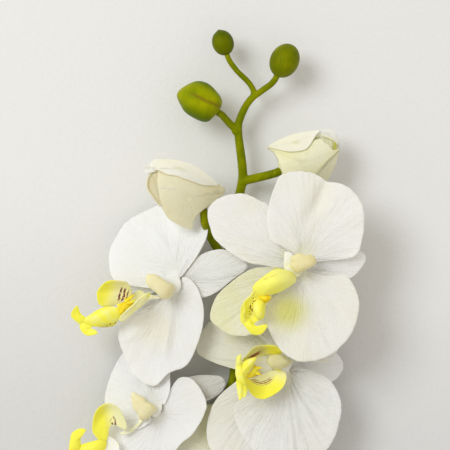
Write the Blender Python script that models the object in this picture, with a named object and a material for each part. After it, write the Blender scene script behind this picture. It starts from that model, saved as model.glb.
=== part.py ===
"""Moth orchid stem, laid down: five open blooms, two half-open buds and three green buds.

Metres, +Z up. The stem lies along Y with its cut end at -Y, and the blooms face up.
"""
import bpy
from math import cos, pi, radians, sin
from mathutils import Matrix, Vector

MM = 0.001

# The plan positions below are measured from this point of the frame, in millimetres.
PLAN_CENTRE = (4.4, 119.5)

# Stem
STEM_RADIUS = 2.1
TIP_RADIUS = 1.3
STEM_SIDES = 8
PEDICEL_SIDES = 7
TAPER_POINTS = 18
GAP = 0.3

# Open blooms
SHEET = 0.8
PETAL_HEIGHT = SHEET + 2 * GAP
HUB_RADIUS = 3.2
COLUMN_LENGTH = 12.0
COLUMN_WIDTH = 9.5
LIP_SHEET = 0.9
LIP_FOOT = 3.4
LIP_HUB = 2.6
SIDE_LOBE = 16.0
MID_LOBE = 22.0

# Rows along and columns across a blade
TEPAL_GRID = (5, 10)
LIP_GRID = (3, 6)
BUD_GRID = (6, 8)


def remove_everything():
    for old in list(bpy.data.objects):
        bpy.data.objects.remove(old, do_unlink=True)


def finish(name, colour, roughness):
    skin = bpy.data.materials.new(name)
    skin.use_nodes = True
    shader = skin.node_tree.nodes["Principled BSDF"]
    shader.inputs["Base Color"].default_value = (*colour, 1.0)
    shader.inputs["Roughness"].default_value = roughness
    shader.inputs["Metallic"].default_value = 0.0
    return skin


def place_mesh(name, vertices, faces, skin):
    """A mesh object from millimetre points in the plan frame."""
    shift = Vector((PLAN_CENTRE[0], PLAN_CENTRE[1], 0.0))
    mesh = bpy.data.meshes.new(name)
    mesh.from_pydata([(Vector(v) + shift) * MM for v in vertices], [], faces)
    mesh.materials.append(skin)
    thing = bpy.data.objects.new(name, mesh)
    bpy.context.collection.objects.link(thing)
    return thing


def apply_modifiers(thing):
    """The object keeps its evaluated mesh and loses its modifiers."""
    graph = bpy.context.evaluated_depsgraph_get()
    result = bpy.data.meshes.new_from_object(thing.evaluated_get(graph))
    thing.modifiers.clear()
    thing.data = result


def join(base, others):
    """One Boolean union of the base with all the others, which are then removed."""
    group = bpy.data.collections.new(base.name + "_parts")
    for other in others:
        group.objects.link(other)
    union = base.modifiers.new("union", "BOOLEAN")
    union.operation = "UNION"
    union.operand_type = "COLLECTION"
    union.collection = group
    union.solver = "EXACT"
    bpy.context.view_layer.update()
    apply_modifiers(base)
    for other in others:
        bpy.data.objects.remove(other, do_unlink=True)
    bpy.data.collections.remove(group)
    return base


def smooth_path(points, steps):
    """Points on a Catmull-Rom curve through the given ones."""
    points = [Vector(p) for p in points]
    ends = [points[0] * 2 - points[1], *points, points[-1] * 2 - points[-2]]
    path = []
    for a, b, c, d in zip(ends, ends[1:], ends[2:], ends[3:]):
        for step in range(steps):
            t = step / steps
            path.append(0.5 * (2 * b + (c - a) * t + (2 * a - 5 * b + 4 * c - d) * t ** 2
                               + (3 * b - a - 3 * c + d) * t ** 3))
    path.append(points[-1])
    return path


def tube(name, path, radii, sides, start_normal, skin):
    """A closed round bar along the path, one radius for each of its points."""
    normal = Vector(start_normal)
    vertices = []
    for index, point in enumerate(path):
        ahead = path[min(index + 1, len(path) - 1)] - path[max(index - 1, 0)]
        ahead.normalize()
        normal = (normal - ahead * normal.dot(ahead)).normalized()
        across = ahead.cross(normal)
        for side in range(sides):
            angle = 2 * pi * (side + 0.5) / sides
            vertices.append(point + radii[index] * (normal * cos(angle) + across * sin(angle)))
    faces = []
    for ring in range(len(path) - 1):
        for side in range(sides):
            a = ring * sides + side
            b = ring * sides + (side + 1) % sides
            faces.append((a, b, b + sides, a + sides))
    faces.append(tuple(reversed(range(sides))))
    faces.append(tuple(range((len(path) - 1) * sides, len(path) * sides)))
    return place_mesh(name, vertices, faces, skin)


def taper(first, last, count):
    return [first + (last - first) * i / (count - 1) for i in range(count)]


# The main stem's centre line, from the fork under the small buds to the cut end
STEM_LINE = [
    (15.6, 64.5, 12.5), (10.8, 59.2, 12), (7.3, 51.8, 12), (6.4, 46.4, 12), (7.3, 38.1, 12),
    (8.3, 30.3, 11), (8.6, 22.5, 10), (6.4, 12.0, 9.5), (3.0, -1.0, 9), (1.4, -18.0, 8.5),
    (1.3, -38.0, 8), (1.8, -55.0, 7.5), (1.4, -68.0, 7.5), (-0.4, -78.0, 7.5), (-3.2, -86.5, 7.5),
    (-7.2, -96.0, 7), (-10.8, -108.0, 6.5), (-13.2, -122.0, 6.2), (-14.6, -142.0, 5.8),
    (-14.8, -168.0, 5.2), (-13.6, -200.0, 4.4), (-11.6, -235.0, 3.6), (-9.6, -270.0, 2.7),
    (-8.4, -300.0, 2.1), (-8.0, -312.0, 1.94), (-7.6, -334.0, 1.94),
]

# Each pedicel's centre line up to a little before what it carries, its first and last radius,
# and the side that the scale leaf at its root is on
PEDICELS = {
    "small_green_bud": ([(13.6, 62.4, 12.3), (14.2, 66.2, 12.6), (12.3, 69.6, 13), (7.9, 74.7, 14),
                         (4.0, 79.0, 14)], 1.25, 1.1, None),
    "round_green_bud": ([(13.6, 62.4, 12.3), (18.6, 66.0, 13), (22.3, 68.6, 14)], 1.4, 1.4, None),
    "large_green_bud": ([(6.6, 45.0, 12), (2.4, 48.8, 13), (-1.0, 51.6, 14.4)], 1.6, 1.5, (-1.0, 0.1)),
    "right_cream_bud": ([(8.2, 21.4, 10), (14.8, 22.9, 11.5), (20.6, 24.2, 13.8)], 2.0, 1.9, (1.0, -0.3)),
    "left_cream_bud": ([(1.5, -18.0, 8.6), (-3.0, -12.8, 10.8), (-5.8, -7.0, 14.6), (-6.8, -2.0, 19.6),
                        (-6.0, 3.0, 23.4)], 2.0, 1.8, (-1.0, 0.8)),
    "bloom_a": ([(1.4, -32.0, 8.2), (9, -31.0, 10), (19, -27.5, 13.5), (31.0, -21.5, 20)],
                2.0, 1.9, (1.0, 0.2)),
    "bloom_b": ([(1.4, -26.0, 8.4), (-5.0, -25.0, 10.0), (-12.0, -25.5, 12.5), (-18.0, -27.2, 15.2)],
                2.0, 1.9, (-1.0, 0.2)),
    "bloom_c": ([(-6.4, -94.5, 7.2), (2.0, -92.0, 8.0), (14.0, -84.0, 9.0), (24.6, -72.5, 11.5)],
                2.0, 1.9, (1.0, 0.1)),
    "bloom_d": ([(-8.6, -100.0, 6.8), (-15, -100.5, 6.8), (-22, -98.4, 7.0), (-28.6, -93.8, 8.2)],
                2.0, 1.9, (-1.0, 0.1)),
    "bloom_e": ([(-14.6, -142.0, 5.8), (-7, -140.5, 5.6), (3, -136.4, 5.4), (12.0, -129.6, 5.8)],
                2.0, 1.9, (1.0, 0.1)),
}


def seats():
    """Where each pedicel ends, and which way it points there."""
    ends = {}
    for name, bud in GREEN_BUDS.items():
        heading = Vector(bud["towards"]).normalized()
        ends[name] = (Vector(bud["centre"]) - heading * (bud["length"] / 2 + GAP), heading)
    for name, bud in CREAM_BUDS.items():
        heading = Vector(bud["towards"]).normalized()
        ends[name] = (Vector(bud["root"]) - heading * (SHEET / 2 + GAP), heading)
    for name, bloom in BLOOMS.items():
        heading = flower_frame(bloom).to_3x3() @ Vector((0, 0, 1))
        ends[name] = (Vector(bloom["hub"]) - heading * (SHEET / 2 + GAP), heading)
    return ends


def scale_leaf(name, root, direction, skin):
    """A small pointed scale that hugs the stem under a pedicel."""
    along = Vector((direction[0], direction[1], 0.35)).normalized()
    start = Vector(root) - along * 0.6
    path = [start, start + along * 2.2, start + along * 4.0]
    return tube(name, path, [1.7, 1.5, 0.5], 6, (0, 0, 1), skin)


def stem():
    skin = finish("stem_green", (0.22, 0.30, 0.02), 0.45)
    line = smooth_path(STEM_LINE[:-1], 2) + [Vector(STEM_LINE[-1])]
    line.reverse()
    radii = [STEM_RADIUS] * (len(line) - TAPER_POINTS) + taper(STEM_RADIUS, TIP_RADIUS, TAPER_POINTS)
    trunk = tube("stem", line, radii, STEM_SIDES, (0, 0, 1), skin)
    branches = []
    ends = seats()
    for name, (points, first, last, leaf_side) in PEDICELS.items():
        seat, heading = ends[name]
        path = [*smooth_path([*points, seat - heading * 1.5 * last], 2), seat]
        radii = taper(first, last, len(path))
        branches.append(tube("pedicel_" + name, path, radii, PEDICEL_SIDES, (0, 0, 1), skin))
        if leaf_side:
            branches.append(scale_leaf("scale_" + name, points[0], leaf_side, skin))
    return join(trunk, branches)


def lobed_sheet(name, hub, lobes, place, grid, thickness, skin):
    """A hub point with lobes around it, cut from one sheet and given its thickness.

    The place function turns a lobe, s across it and t along it into a point, and the grid is the
    number of rows along and columns across each lobe.
    """
    rows, columns = grid
    vertices = [hub]
    rim = []
    faces = []
    for lobe in lobes:
        first = len(vertices)
        for row in range(rows + 1):
            for column in range(columns + 1):
                vertices.append(place(lobe, 2 * column / columns - 1, row / rows))
        rim += range(first, first + columns + 1)
        for row in range(rows):
            for column in range(columns):
                a = first + row * (columns + 1) + column
                b = a + columns + 1
                if column < columns / 2:
                    faces += [(a, b, b + 1), (a, b + 1, a + 1)]
                else:
                    faces += [(a, b, a + 1), (a + 1, b, b + 1)]
    faces += [(0, start, end) for start, end in zip(rim, rim[1:] + rim[:1])]
    sheet = place_mesh(name, vertices, faces, skin)
    body = sheet.modifiers.new("thickness", "SOLIDIFY")
    body.thickness = thickness * MM
    body.offset = 0.0
    apply_modifiers(sheet)
    return sheet


def bend(distance, length, tilt, curl):
    """Run and rise along a strip that leaves at one slope and turns evenly to another."""
    if abs(curl) < 0.01:
        return distance * cos(tilt), distance * sin(tilt), tilt
    turn = tilt + curl * distance / length
    radius = length / curl
    return radius * (sin(turn) - sin(tilt)), radius * (cos(tilt) - cos(turn)), turn


def petal(angle, length, tilt=-4, curl=-8, slim=(1.14, 1.14), spread=(64, 64), cup=0.1, ripple=0.6):
    """A broad petal: its direction and slopes in degrees, its length in millimetres.

    The pairs are for its clockwise and its anticlockwise half.
    """
    return {"angle": radians(angle), "length": length, "tilt": radians(tilt), "curl": radians(curl),
            "cup": cup, "ripple": ripple, "spread": [radians(half) for half in spread],
            "shoulder": 0.5, "slimness": slim, "claw": 1.6, "arc": radians(86)}


def sepal(angle, length, tilt=-6, curl=-6, slim=(1.6, 1.6), ripple=0.5):
    return {"angle": radians(angle), "length": length, "tilt": radians(tilt), "curl": radians(curl),
            "cup": 0.0, "ripple": ripple, "spread": [radians(40), radians(40)],
            "shoulder": 1.0, "slimness": slim, "claw": 1.3, "arc": radians(58)}


def tepal_point(lobe, s, t, hub_radius=HUB_RADIUS):
    """The point at s across and t along a lobe, in its flower's own frame."""
    half = 0 if s < 0 else 1
    fan = lobe["spread"][half] * s
    reach = lobe["length"] * cos(fan) ** lobe["shoulder"]
    reach /= cos(fan) ** 2 + (lobe["slimness"][half] * sin(fan)) ** 2
    ring = lobe["arc"] * s / 2
    start_x, start_y = hub_radius * cos(ring), hub_radius * sin(ring)
    along = (reach * cos(fan) - start_x) * t
    across = start_y + (reach * sin(fan) - start_y) * t ** lobe["claw"]
    run, rise, slope = bend(along, lobe["length"], lobe["tilt"], lobe["curl"])
    lift = lobe["cup"] * (across / lobe["length"]) ** 2 * lobe["length"]
    lift += lobe["ripple"] * sin(5 * fan + 3 * lobe["angle"]) * t ** 3
    x = start_x + run - lift * sin(slope)
    z = rise + lift * cos(slope)
    return Matrix.Rotation(lobe["angle"], 3, "Z") @ Vector((x, across, z))


def flower_frame(bloom):
    """Turns a flower's own frame to the plan: leaned over towards one side, at its hub."""
    side = Matrix.Rotation(radians(bloom["lean_to"]), 4, "Z")
    lean = side @ Matrix.Rotation(radians(bloom["lean"]), 4, "Y") @ side.inverted()
    return Matrix.Translation(Vector(bloom["hub"])) @ lean


def tepal_layer(name, bloom, lobes, height, skin):
    frame = flower_frame(bloom) @ Matrix.Translation((0, 0, height))

    def place(lobe, s, t):
        return frame @ tepal_point(lobe, s, t)

    return lobed_sheet(name, frame.to_translation(), lobes, place, TEPAL_GRID, SHEET, skin)


def column(name, bloom, skin):
    """The knob at the flower's heart: narrow at its foot, broad and notched at its tip."""
    aim_side = radians(bloom["column_to"])
    aim = Vector((sin(radians(bloom["column_tilt"])) * cos(aim_side),
                  sin(radians(bloom["column_tilt"])) * sin(aim_side), cos(radians(bloom["column_tilt"]))))
    lip_side = radians(bloom["lip_to"])
    down = Vector((cos(lip_side), sin(lip_side), 0))
    foot = Vector((0, 0, PETAL_HEIGHT + SHEET / 2 + GAP))
    sides = 10
    rings = [(0.0, 0.50), (0.18, 0.62), (0.45, 0.74), (0.72, 0.96), (0.90, 1.0), (1.0, 0.72)]
    frame = flower_frame(bloom)
    vertices = []
    for share, width in rings:
        heading = Vector((0, 0, 1)).lerp(aim, min(1.0, share * 1.6)).normalized()
        centre = foot + heading * (share * COLUMN_LENGTH)
        normal = (down - heading * down.dot(heading)).normalized()
        across = heading.cross(normal)
        for side in range(sides):
            angle = 2 * pi * side / sides
            notch = 1.0 - 0.16 * max(0.0, cos(angle)) ** 4 * share
            radius = width * COLUMN_WIDTH / 2 * notch
            offset = normal * (0.86 * cos(angle) * radius) + across * (sin(angle) * radius)
            if share == 0.0:
                offset.z = 0.0
            vertices.append(frame @ (centre + offset))
    tip = foot + aim * (COLUMN_LENGTH * 1.05)
    vertices.append(frame @ tip)
    faces = [tuple(reversed(range(sides)))]
    for ring in range(len(rings) - 1):
        for side in range(sides):
            a = ring * sides + side
            b = ring * sides + (side + 1) % sides
            faces.append((a, b, b + sides, a + sides))
    last = (len(rings) - 1) * sides
    faces += [(last + side, last + (side + 1) % sides, len(vertices) - 1) for side in range(sides)]
    return place_mesh(name, vertices, faces, skin)


def lip(name, bloom, skin):
    """A claw out from the column's foot, two raised side lobes, the callus between them, and a
    long middle lobe that ends in two tendrils."""
    out = bloom["lip_out"] - LIP_FOOT
    frame = flower_frame(bloom) @ Matrix.Rotation(radians(bloom["lip_to"]), 4, "Z")
    frame @= Matrix.Translation((LIP_FOOT, 0, PETAL_HEIGHT + SHEET + 2 * GAP))
    frame @= Matrix.Rotation(radians(-bloom["lip_rise"]), 4, "Y") @ Matrix.Translation((out, 0, 0))
    plain = {"cup": 0.0, "ripple": 0.0, "shoulder": 1.0}
    claw = {**plain, "angle": pi, "length": out, "tilt": 0.0, "curl": 0.0, "spread": [radians(14)] * 2,
            "slimness": (1.0, 1.0), "claw": 1.0, "arc": radians(60)}
    middle = {**plain, "angle": 0.0, "length": MID_LOBE, "tilt": radians(bloom["mid_tilt"]),
              "curl": radians(-26), "cup": 0.5, "spread": [radians(22)] * 2, "slimness": (3.2, 3.2),
              "claw": 1.0, "arc": radians(60)}
    side = {**plain, "length": SIDE_LOBE, "tilt": radians(48), "curl": radians(46), "cup": 0.25,
            "spread": [radians(56)] * 2, "shoulder": 0.5, "slimness": (1.1, 1.1), "claw": 1.2,
            "arc": radians(80)}
    lobes = [middle, {**side, "angle": radians(88)}, claw, {**side, "angle": radians(-88)}]

    def place(lobe, s, t):
        return frame @ tepal_point(lobe, s, t, LIP_HUB)

    sheet = lobed_sheet(name, frame.to_translation(), lobes, place, LIP_GRID, LIP_SHEET, skin)
    extras = []
    tip = tepal_point(middle, 0.0, 0.94, LIP_HUB)
    for hand in (1, -1):
        points = [tip + Vector(step) for step in ((0, 0.4 * hand, 0), (2.4, 1.8 * hand, 0.4),
                                                  (2.6, 5.0 * hand, 1.4), (-1.0, 7.2 * hand, 2.6))]
        path = [frame @ p for p in smooth_path(points, 1)]
        extras.append(tube(name + "_tendril", path, taper(1.0, 0.5, len(path)), 6, (0, 0, 1), skin))
    callus = [frame @ Vector(p) for p in ((0.8, 0, -0.3), (1.0, 0, 1.8), (1.4, 0, 3.6), (1.6, 0, 4.4))]
    extras.append(tube(name + "_callus", callus, [2.7, 2.7, 2.3, 1.1], 8, (0, 1, 0), skin))
    return join(sheet, extras)


BLOOMS = {
    "bloom_a": {
        "hub": (36.0, -18.8, 37.0), "lean": 0, "lean_to": 0, "lip_to": 226, "lip_rise": 16,
        "lip_out": 22.0, "mid_tilt": -4, "column_tilt": 10, "column_to": 0,
        "sepals": [sepal(-3, 34, -5, -34, ripple=0.3), sepal(148, 48, -3, -1, slim=(1.5, 1.6), ripple=0.3),
                   sepal(219, 49, -6, -4, slim=(1.45, 1.6))],
        "petals": [petal(66, 45.5, 0, -10), petal(-78, 47, 2, -6, slim=(1.42, 1.1), spread=(52, 64))]},
    "bloom_b": {
        "hub": (-23.5, -28.8, 22.5), "lean": 14, "lean_to": 188, "lip_to": 201, "lip_rise": 16,
        "lip_out": 29.0, "mid_tilt": -8, "column_tilt": 44, "column_to": 156,
        "sepals": [sepal(18, 37, -10, -5), sepal(160, 40, -21.3, -6.2), sepal(245, 33, -4, -4)],
        "petals": [petal(107, 42, -16, -12, slim=(1.1, 0.88), spread=(54, 70), ripple=0.3),
                   petal(-107, 50, 2, -6, slim=(1.25, 1.36), spread=(52, 52))]},
    "bloom_c": {
        "hub": (29.0, -68.2, 22.0), "lean": 0, "lean_to": 0, "lip_to": 186, "lip_rise": 34,
        "lip_out": 19.0, "mid_tilt": 26, "column_tilt": 20, "column_to": 140,
        "sepals": [sepal(1, 34, -16, -24), sepal(163, 47, -8, -6, slim=(1.5, 1.5)), sepal(219, 48, -3, -4)],
        "petals": [petal(68, 40, -4, -8), petal(-88, 47, 2, -6, slim=(1.1, 1.1))]},
    "bloom_d": {
        "hub": (-33.0, -89.7, 15.5), "lean": 10, "lean_to": 188, "lip_to": 204, "lip_rise": 14,
        "lip_out": 22.0, "mid_tilt": -8, "column_tilt": 44, "column_to": 150,
        "sepals": [sepal(20, 36, -13, -4), sepal(150, 28, -15, -6, slim=(1.9, 1.9)), sepal(236, 36, -10, -6)],
        "petals": [petal(120, 36, -13, -8, slim=(1.5, 1.14), spread=(56, 62), cup=0.15, ripple=0.3),
                   petal(-74, 43, 5, -6, slim=(1.0, 0.82), spread=(64, 82))]},
    "bloom_e": {
        "hub": (18.0, -124.3, 13.0), "lean": 0, "lean_to": 0, "lip_to": 196, "lip_rise": 20,
        "lip_out": 19.0, "mid_tilt": -4, "column_tilt": 18, "column_to": 150,
        "sepals": [sepal(0, 38, -15.5, -12), sepal(141, 45, -1, -3), sepal(216, 44, -3, -3)],
        "petals": [petal(72, 40, -4, -8), petal(-74, 43, 0, -8)]},
}


def open_bloom(name, bloom):
    white = finish(name + "_white", (0.86, 0.86, 0.83), 0.75)
    yellow = finish(name + "_yellow", (0.86, 0.80, 0.10), 0.45)
    cream = finish(name + "_cream", (0.85, 0.80, 0.50), 0.45)
    tepal_layer(name + "_sepals", bloom, bloom["sepals"], 0.0, white)
    tepal_layer(name + "_petals", bloom, bloom["petals"], PETAL_HEIGHT, white)
    column(name + "_column", bloom, cream)
    lip(name + "_lip", bloom, yellow)


GREEN_BUDS = {
    "small_green_bud": {"centre": (-1.0, 88.9, 14.2), "towards": (-0.32, 0.94, 0.0), "length": 12.6,
                        "width": 10.6, "point": 1.0},
    "round_green_bud": {"centre": (29.0, 80.0, 16.2), "towards": (0.45, 0.89, 0.06), "length": 17.2,
                        "width": 14.2, "point": 1.0},
    "large_green_bud": {"centre": (-13.4, 60.6, 17.0), "towards": (-0.86, 0.50, 0.10), "length": 23.6,
                        "width": 18.2, "point": 1.5},
}


def green_bud(name, bud):
    """An egg-shaped bud with a shallow seam along its upper side."""
    skin = finish(name + "_green", (0.28, 0.36, 0.03), 0.35)
    axis = Vector(bud["towards"]).normalized()
    up = (Vector((0, 0, 1)) - axis * axis.z).normalized()
    across = axis.cross(up)
    centre = Vector(bud["centre"])
    rings = 9
    sides = 14
    vertices = [centre - axis * bud["length"] / 2]
    for ring in range(1, rings):
        share = ring / rings
        height = -cos(pi * share)
        radius = bud["width"] / 2 * sin(pi * share) * (1 - 0.10 * (bud["point"] - 1) * height)
        radius *= 1 - 0.22 * (bud["point"] - 1) * max(0.0, height) ** 3
        for side in range(sides):
            angle = 2 * pi * side / sides
            seam = 1 - 0.09 * (bud["point"] - 1) * max(0.0, cos(angle)) ** 12 * sin(pi * share)
            vertices.append(centre + axis * (height * bud["length"] / 2)
                            + (up * cos(angle) + across * sin(angle)) * radius * seam)
    vertices.append(centre + axis * bud["length"] / 2)
    faces = []
    for side in range(sides):
        after = (side + 1) % sides
        faces.append((0, 1 + after, 1 + side))
        for ring in range(rings - 2):
            a = 1 + ring * sides + side
            b = 1 + ring * sides + after
            faces.append((a, b, b + sides, a + sides))
        last = 1 + (rings - 2) * sides
        faces.append((last + side, last + after, len(vertices) - 1))
    return place_mesh(name, vertices, faces, skin)


CREAM_BUDS = {
    "left_cream_bud": {"root": (-7.6, 7.6, 26.0), "towards": (-0.80, 0.46, 0.38), "wide": (0.62, 0.78, 0.0),
                       "half_width": 14.6, "half_depth": 8.4, "mouth": 0.66, "length": 31.5, "turn": 75},
    "right_cream_bud": {"root": (26.2, 26.4, 15.2), "towards": (0.88, 0.44, 0.06), "wide": (-0.50, 0.86, 0.0),
                        "half_width": 13.4, "half_depth": 9.4, "mouth": 0.86, "length": 29.0, "turn": 40},
}

# Along a half-open bud: the share of its half width and of its half depth
BUD_PROFILE = [(0.00, 0.20, 0.26), (0.05, 0.96, 0.86), (0.14, 1.00, 0.96), (0.40, 0.97, 1.00),
               (1.00, 1.00, 0.74)]


def profile_at(share):
    for (t0, a0, b0), (t1, a1, b1) in zip(BUD_PROFILE, BUD_PROFILE[1:]):
        if share <= t1:
            mix = (share - t0) / (t1 - t0)
            return a0 + (a1 - a0) * mix, b0 + (b1 - b0) * mix


def bud_layer(name, bud, blades, scale, length, skin):
    """Blades folded forward round the bud's axis, each one's edge tucked under the next."""
    axis = Vector(bud["towards"]).normalized()
    wide = Vector(bud["wide"])
    wide = (wide - axis * wide.dot(axis)).normalized()
    deep = axis.cross(wide)
    root = Vector(bud["root"]) + axis * (1 - scale) * 5.0

    def place(blade, s, t):
        half_span = pi / blades * (0.80 + 0.34 * min(1.0, t / 0.35))
        angle = radians(bud["turn"]) + 2 * pi * blade / blades + s * half_span
        share = t ** 1.6
        share_wide, share_deep = profile_at(share)
        share_wide *= 1 - (1 - bud["mouth"]) * share ** 1.5
        overlap = 1 + 0.085 * s * min(1.0, t / 0.3)
        forward = length * share * (1 - 0.16 * s ** 4 * t)
        return (root + axis * forward
                + wide * (share_wide * scale * overlap * bud["half_width"] * cos(angle))
                + deep * (share_deep * scale * overlap * bud["half_depth"] * sin(angle)))

    return lobed_sheet(name, root, list(range(blades)), place, BUD_GRID, SHEET, skin)


def cream_bud(name, bud):
    skin = finish(name + "_cream", (0.80, 0.74, 0.50), 0.7)
    bud_layer(name + "_sepals", bud, 3, 1.0, bud["length"], skin)
    bud_layer(name + "_petals", {**bud, "turn": bud["turn"] + 60}, 2, 0.66, bud["length"] - 3.0, skin)


def main():
    remove_everything()
    stem()
    for name, bud in GREEN_BUDS.items():
        green_bud(name, bud)
    for name, bud in CREAM_BUDS.items():
        cream_bud(name, bud)
    for name, bloom in BLOOMS.items():
        open_bloom(name, bloom)


main()
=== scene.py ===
from math import atan2, cos, degrees, exp, pi, radians, sin

import bpy
from mathutils import Matrix, Vector, noise


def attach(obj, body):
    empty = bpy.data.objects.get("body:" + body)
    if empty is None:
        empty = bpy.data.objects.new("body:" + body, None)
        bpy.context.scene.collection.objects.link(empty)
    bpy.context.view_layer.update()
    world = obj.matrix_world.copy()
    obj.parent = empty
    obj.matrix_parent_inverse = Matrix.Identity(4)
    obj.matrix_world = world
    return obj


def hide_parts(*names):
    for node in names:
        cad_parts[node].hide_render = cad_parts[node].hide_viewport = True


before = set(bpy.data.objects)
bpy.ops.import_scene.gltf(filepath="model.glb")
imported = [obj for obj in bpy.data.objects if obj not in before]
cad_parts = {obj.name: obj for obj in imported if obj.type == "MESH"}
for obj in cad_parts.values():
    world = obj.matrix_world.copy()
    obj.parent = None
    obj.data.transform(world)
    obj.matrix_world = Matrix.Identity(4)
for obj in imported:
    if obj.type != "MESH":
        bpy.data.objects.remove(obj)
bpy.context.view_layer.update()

# The dictionaries of the pieces are in millimetres on the plan, whose zero is planCentre in the frame.
# Those of the materials, the light and the camera are in metres.
mm = 0.001
planCentre = Vector((4.4, 119.5, 0.0))
toFrame = Matrix.Scale(mm, 4) @ Matrix.Translation(planCentre)


# Working by hand: selection, modifiers, joining


def choose(*pieces):
    # only these are selected, the first one active
    bpy.ops.object.select_all(action="DESELECT")
    for piece in pieces:
        piece.select_set(True)
    bpy.context.view_layer.objects.active = pieces[0]
    return pieces[0]


def modify(piece, kind, **settings):
    choose(piece)
    modifier = piece.modifiers.new(kind.title(), kind)
    for name, value in settings.items():
        setattr(modifier, name, value)
    bpy.ops.object.modifier_apply(modifier=modifier.name)
    return piece


def smoother(piece, times=1):
    return modify(piece, "SUBSURF", levels=times, render_levels=times, use_limit_surface=False)


def joinAll(name, pieces):
    joined = choose(*pieces)
    if len(pieces) > 1:
        bpy.ops.object.join()
    joined.name = name
    joined.data.name = name
    return joined


def weld(piece, distance=0.002):
    # doubles merged, then every face turned outwards
    choose(piece)
    bpy.ops.object.mode_set(mode="EDIT")
    bpy.ops.mesh.select_all(action="SELECT")
    bpy.ops.mesh.remove_doubles(threshold=distance)
    bpy.ops.mesh.normals_make_consistent(inside=False)
    bpy.ops.object.mode_set(mode="OBJECT")
    return piece


def paint(piece, material):
    # this material and no other
    piece.data.materials.clear()
    piece.data.materials.append(material)
    return piece


def finishPiece(piece, slot, *nodes, angle=60):
    # from plan millimetres to the frame, smooth, and on its body
    piece.data.transform(toFrame)
    choose(piece)
    bpy.ops.object.shade_smooth_by_angle(angle=radians(angle))
    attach(piece, "root")
    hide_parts(*nodes)


# Materials


class Wire:
    # a socket's value, on which plain arithmetic adds the maths nodes

    def __init__(self, finish, socket):
        self.finish = finish
        self.socket = socket

    def maths(self, operation, *values):
        return self.finish.node("ShaderNodeMath", {"operation": operation}, dict(enumerate(values)))

    def __add__(self, other):
        return self.maths("ADD", self, other)

    def __sub__(self, other):
        return self.maths("SUBTRACT", self, other)

    def __rsub__(self, other):
        return self.maths("SUBTRACT", other, self)

    def __mul__(self, other):
        return self.maths("MULTIPLY", self, other)

    def __abs__(self):
        return self.maths("ABSOLUTE", self)

    def wave(self):
        return self.maths("SINE", self)

    def between(self, low, high):
        # 0 at low, 1 at high, smooth in between
        return self.finish.node("ShaderNodeMapRange", {"interpolation_type": "SMOOTHSTEP"},
                                {"Value": self, "From Min": low, "From Max": high})

    def out(self, name):
        return Wire(self.finish, self.socket.node.outputs[name])


class Finish:
    def __init__(self, name, **constants):
        self.material = bpy.data.materials.new(name)
        self.material.use_nodes = True
        self.tree = self.material.node_tree
        self.shader = self.tree.nodes["Principled BSDF"]
        for socket, value in constants.items():
            self.shader.inputs[socket.replace("_", " ")].default_value = value

    def node(self, kind, settings, sockets, out=0):
        made = self.tree.nodes.new(kind)
        for name, value in settings.items():
            setattr(made, name, value)
        for name, value in sockets.items():
            if isinstance(value, Wire):
                self.tree.links.new(value.socket, made.inputs[name])
            else:
                made.inputs[name].default_value = value
        return Wire(self, made.outputs[out])

    def coords(self):
        return self.node("ShaderNodeTexCoord", {}, {}, "Object")

    def bladePlace(self):
        # across -1..1 and along 0..1 on a blade, and which blade
        vector = self.node("ShaderNodeAttribute", {"attribute_name": "bladePlace"}, {}, "Vector")
        split = self.node("ShaderNodeSeparateXYZ", {}, {"Vector": vector})
        return split, split.out("Y"), split.out("Z")

    def vector(self, x, y, z):
        return self.node("ShaderNodeCombineXYZ", {}, {"X": x, "Y": y, "Z": z})

    def stretched(self, vector, scale):
        return self.node("ShaderNodeVectorMath", {"operation": "MULTIPLY"}, {0: vector, 1: scale})

    def cloud(self, vector, scale, detail=3.0, roughness=0.5):
        return self.node("ShaderNodeTexNoise", {},
                         {"Vector": vector, "Scale": scale, "Detail": detail, "Roughness": roughness})

    def tint(self, share, first, second):
        # the colours of the mix node are its sockets 6 and 7, and its output 2
        def full(colour):
            return colour if isinstance(colour, Wire) else (*colour, 1.0)
        sockets = {0: share, 6: full(first), 7: full(second)}
        return self.node("ShaderNodeMix", {"data_type": "RGBA"}, sockets, 2)

    def colour(self, value):
        self.tree.links.new(value.socket, self.shader.inputs["Base Color"])

    def roughness(self, value):
        self.tree.links.new(value.socket, self.shader.inputs["Roughness"])

    def relief(self, height, depth, strength=1.0):
        bump = self.node("ShaderNodeBump", {}, {"Height": height, "Distance": depth, "Strength": strength})
        self.tree.links.new(bump.socket, self.shader.inputs["Normal"])


def softFinish(name, look):
    # a material that lets a little light through
    return Finish(name, Roughness=look["roughness"], Specular_IOR_Level=look["gloss"],
                  Subsurface_Weight=look["glow"], Subsurface_Scale=look["glowReach"],
                  Subsurface_Radius=look["glowColour"])


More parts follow.
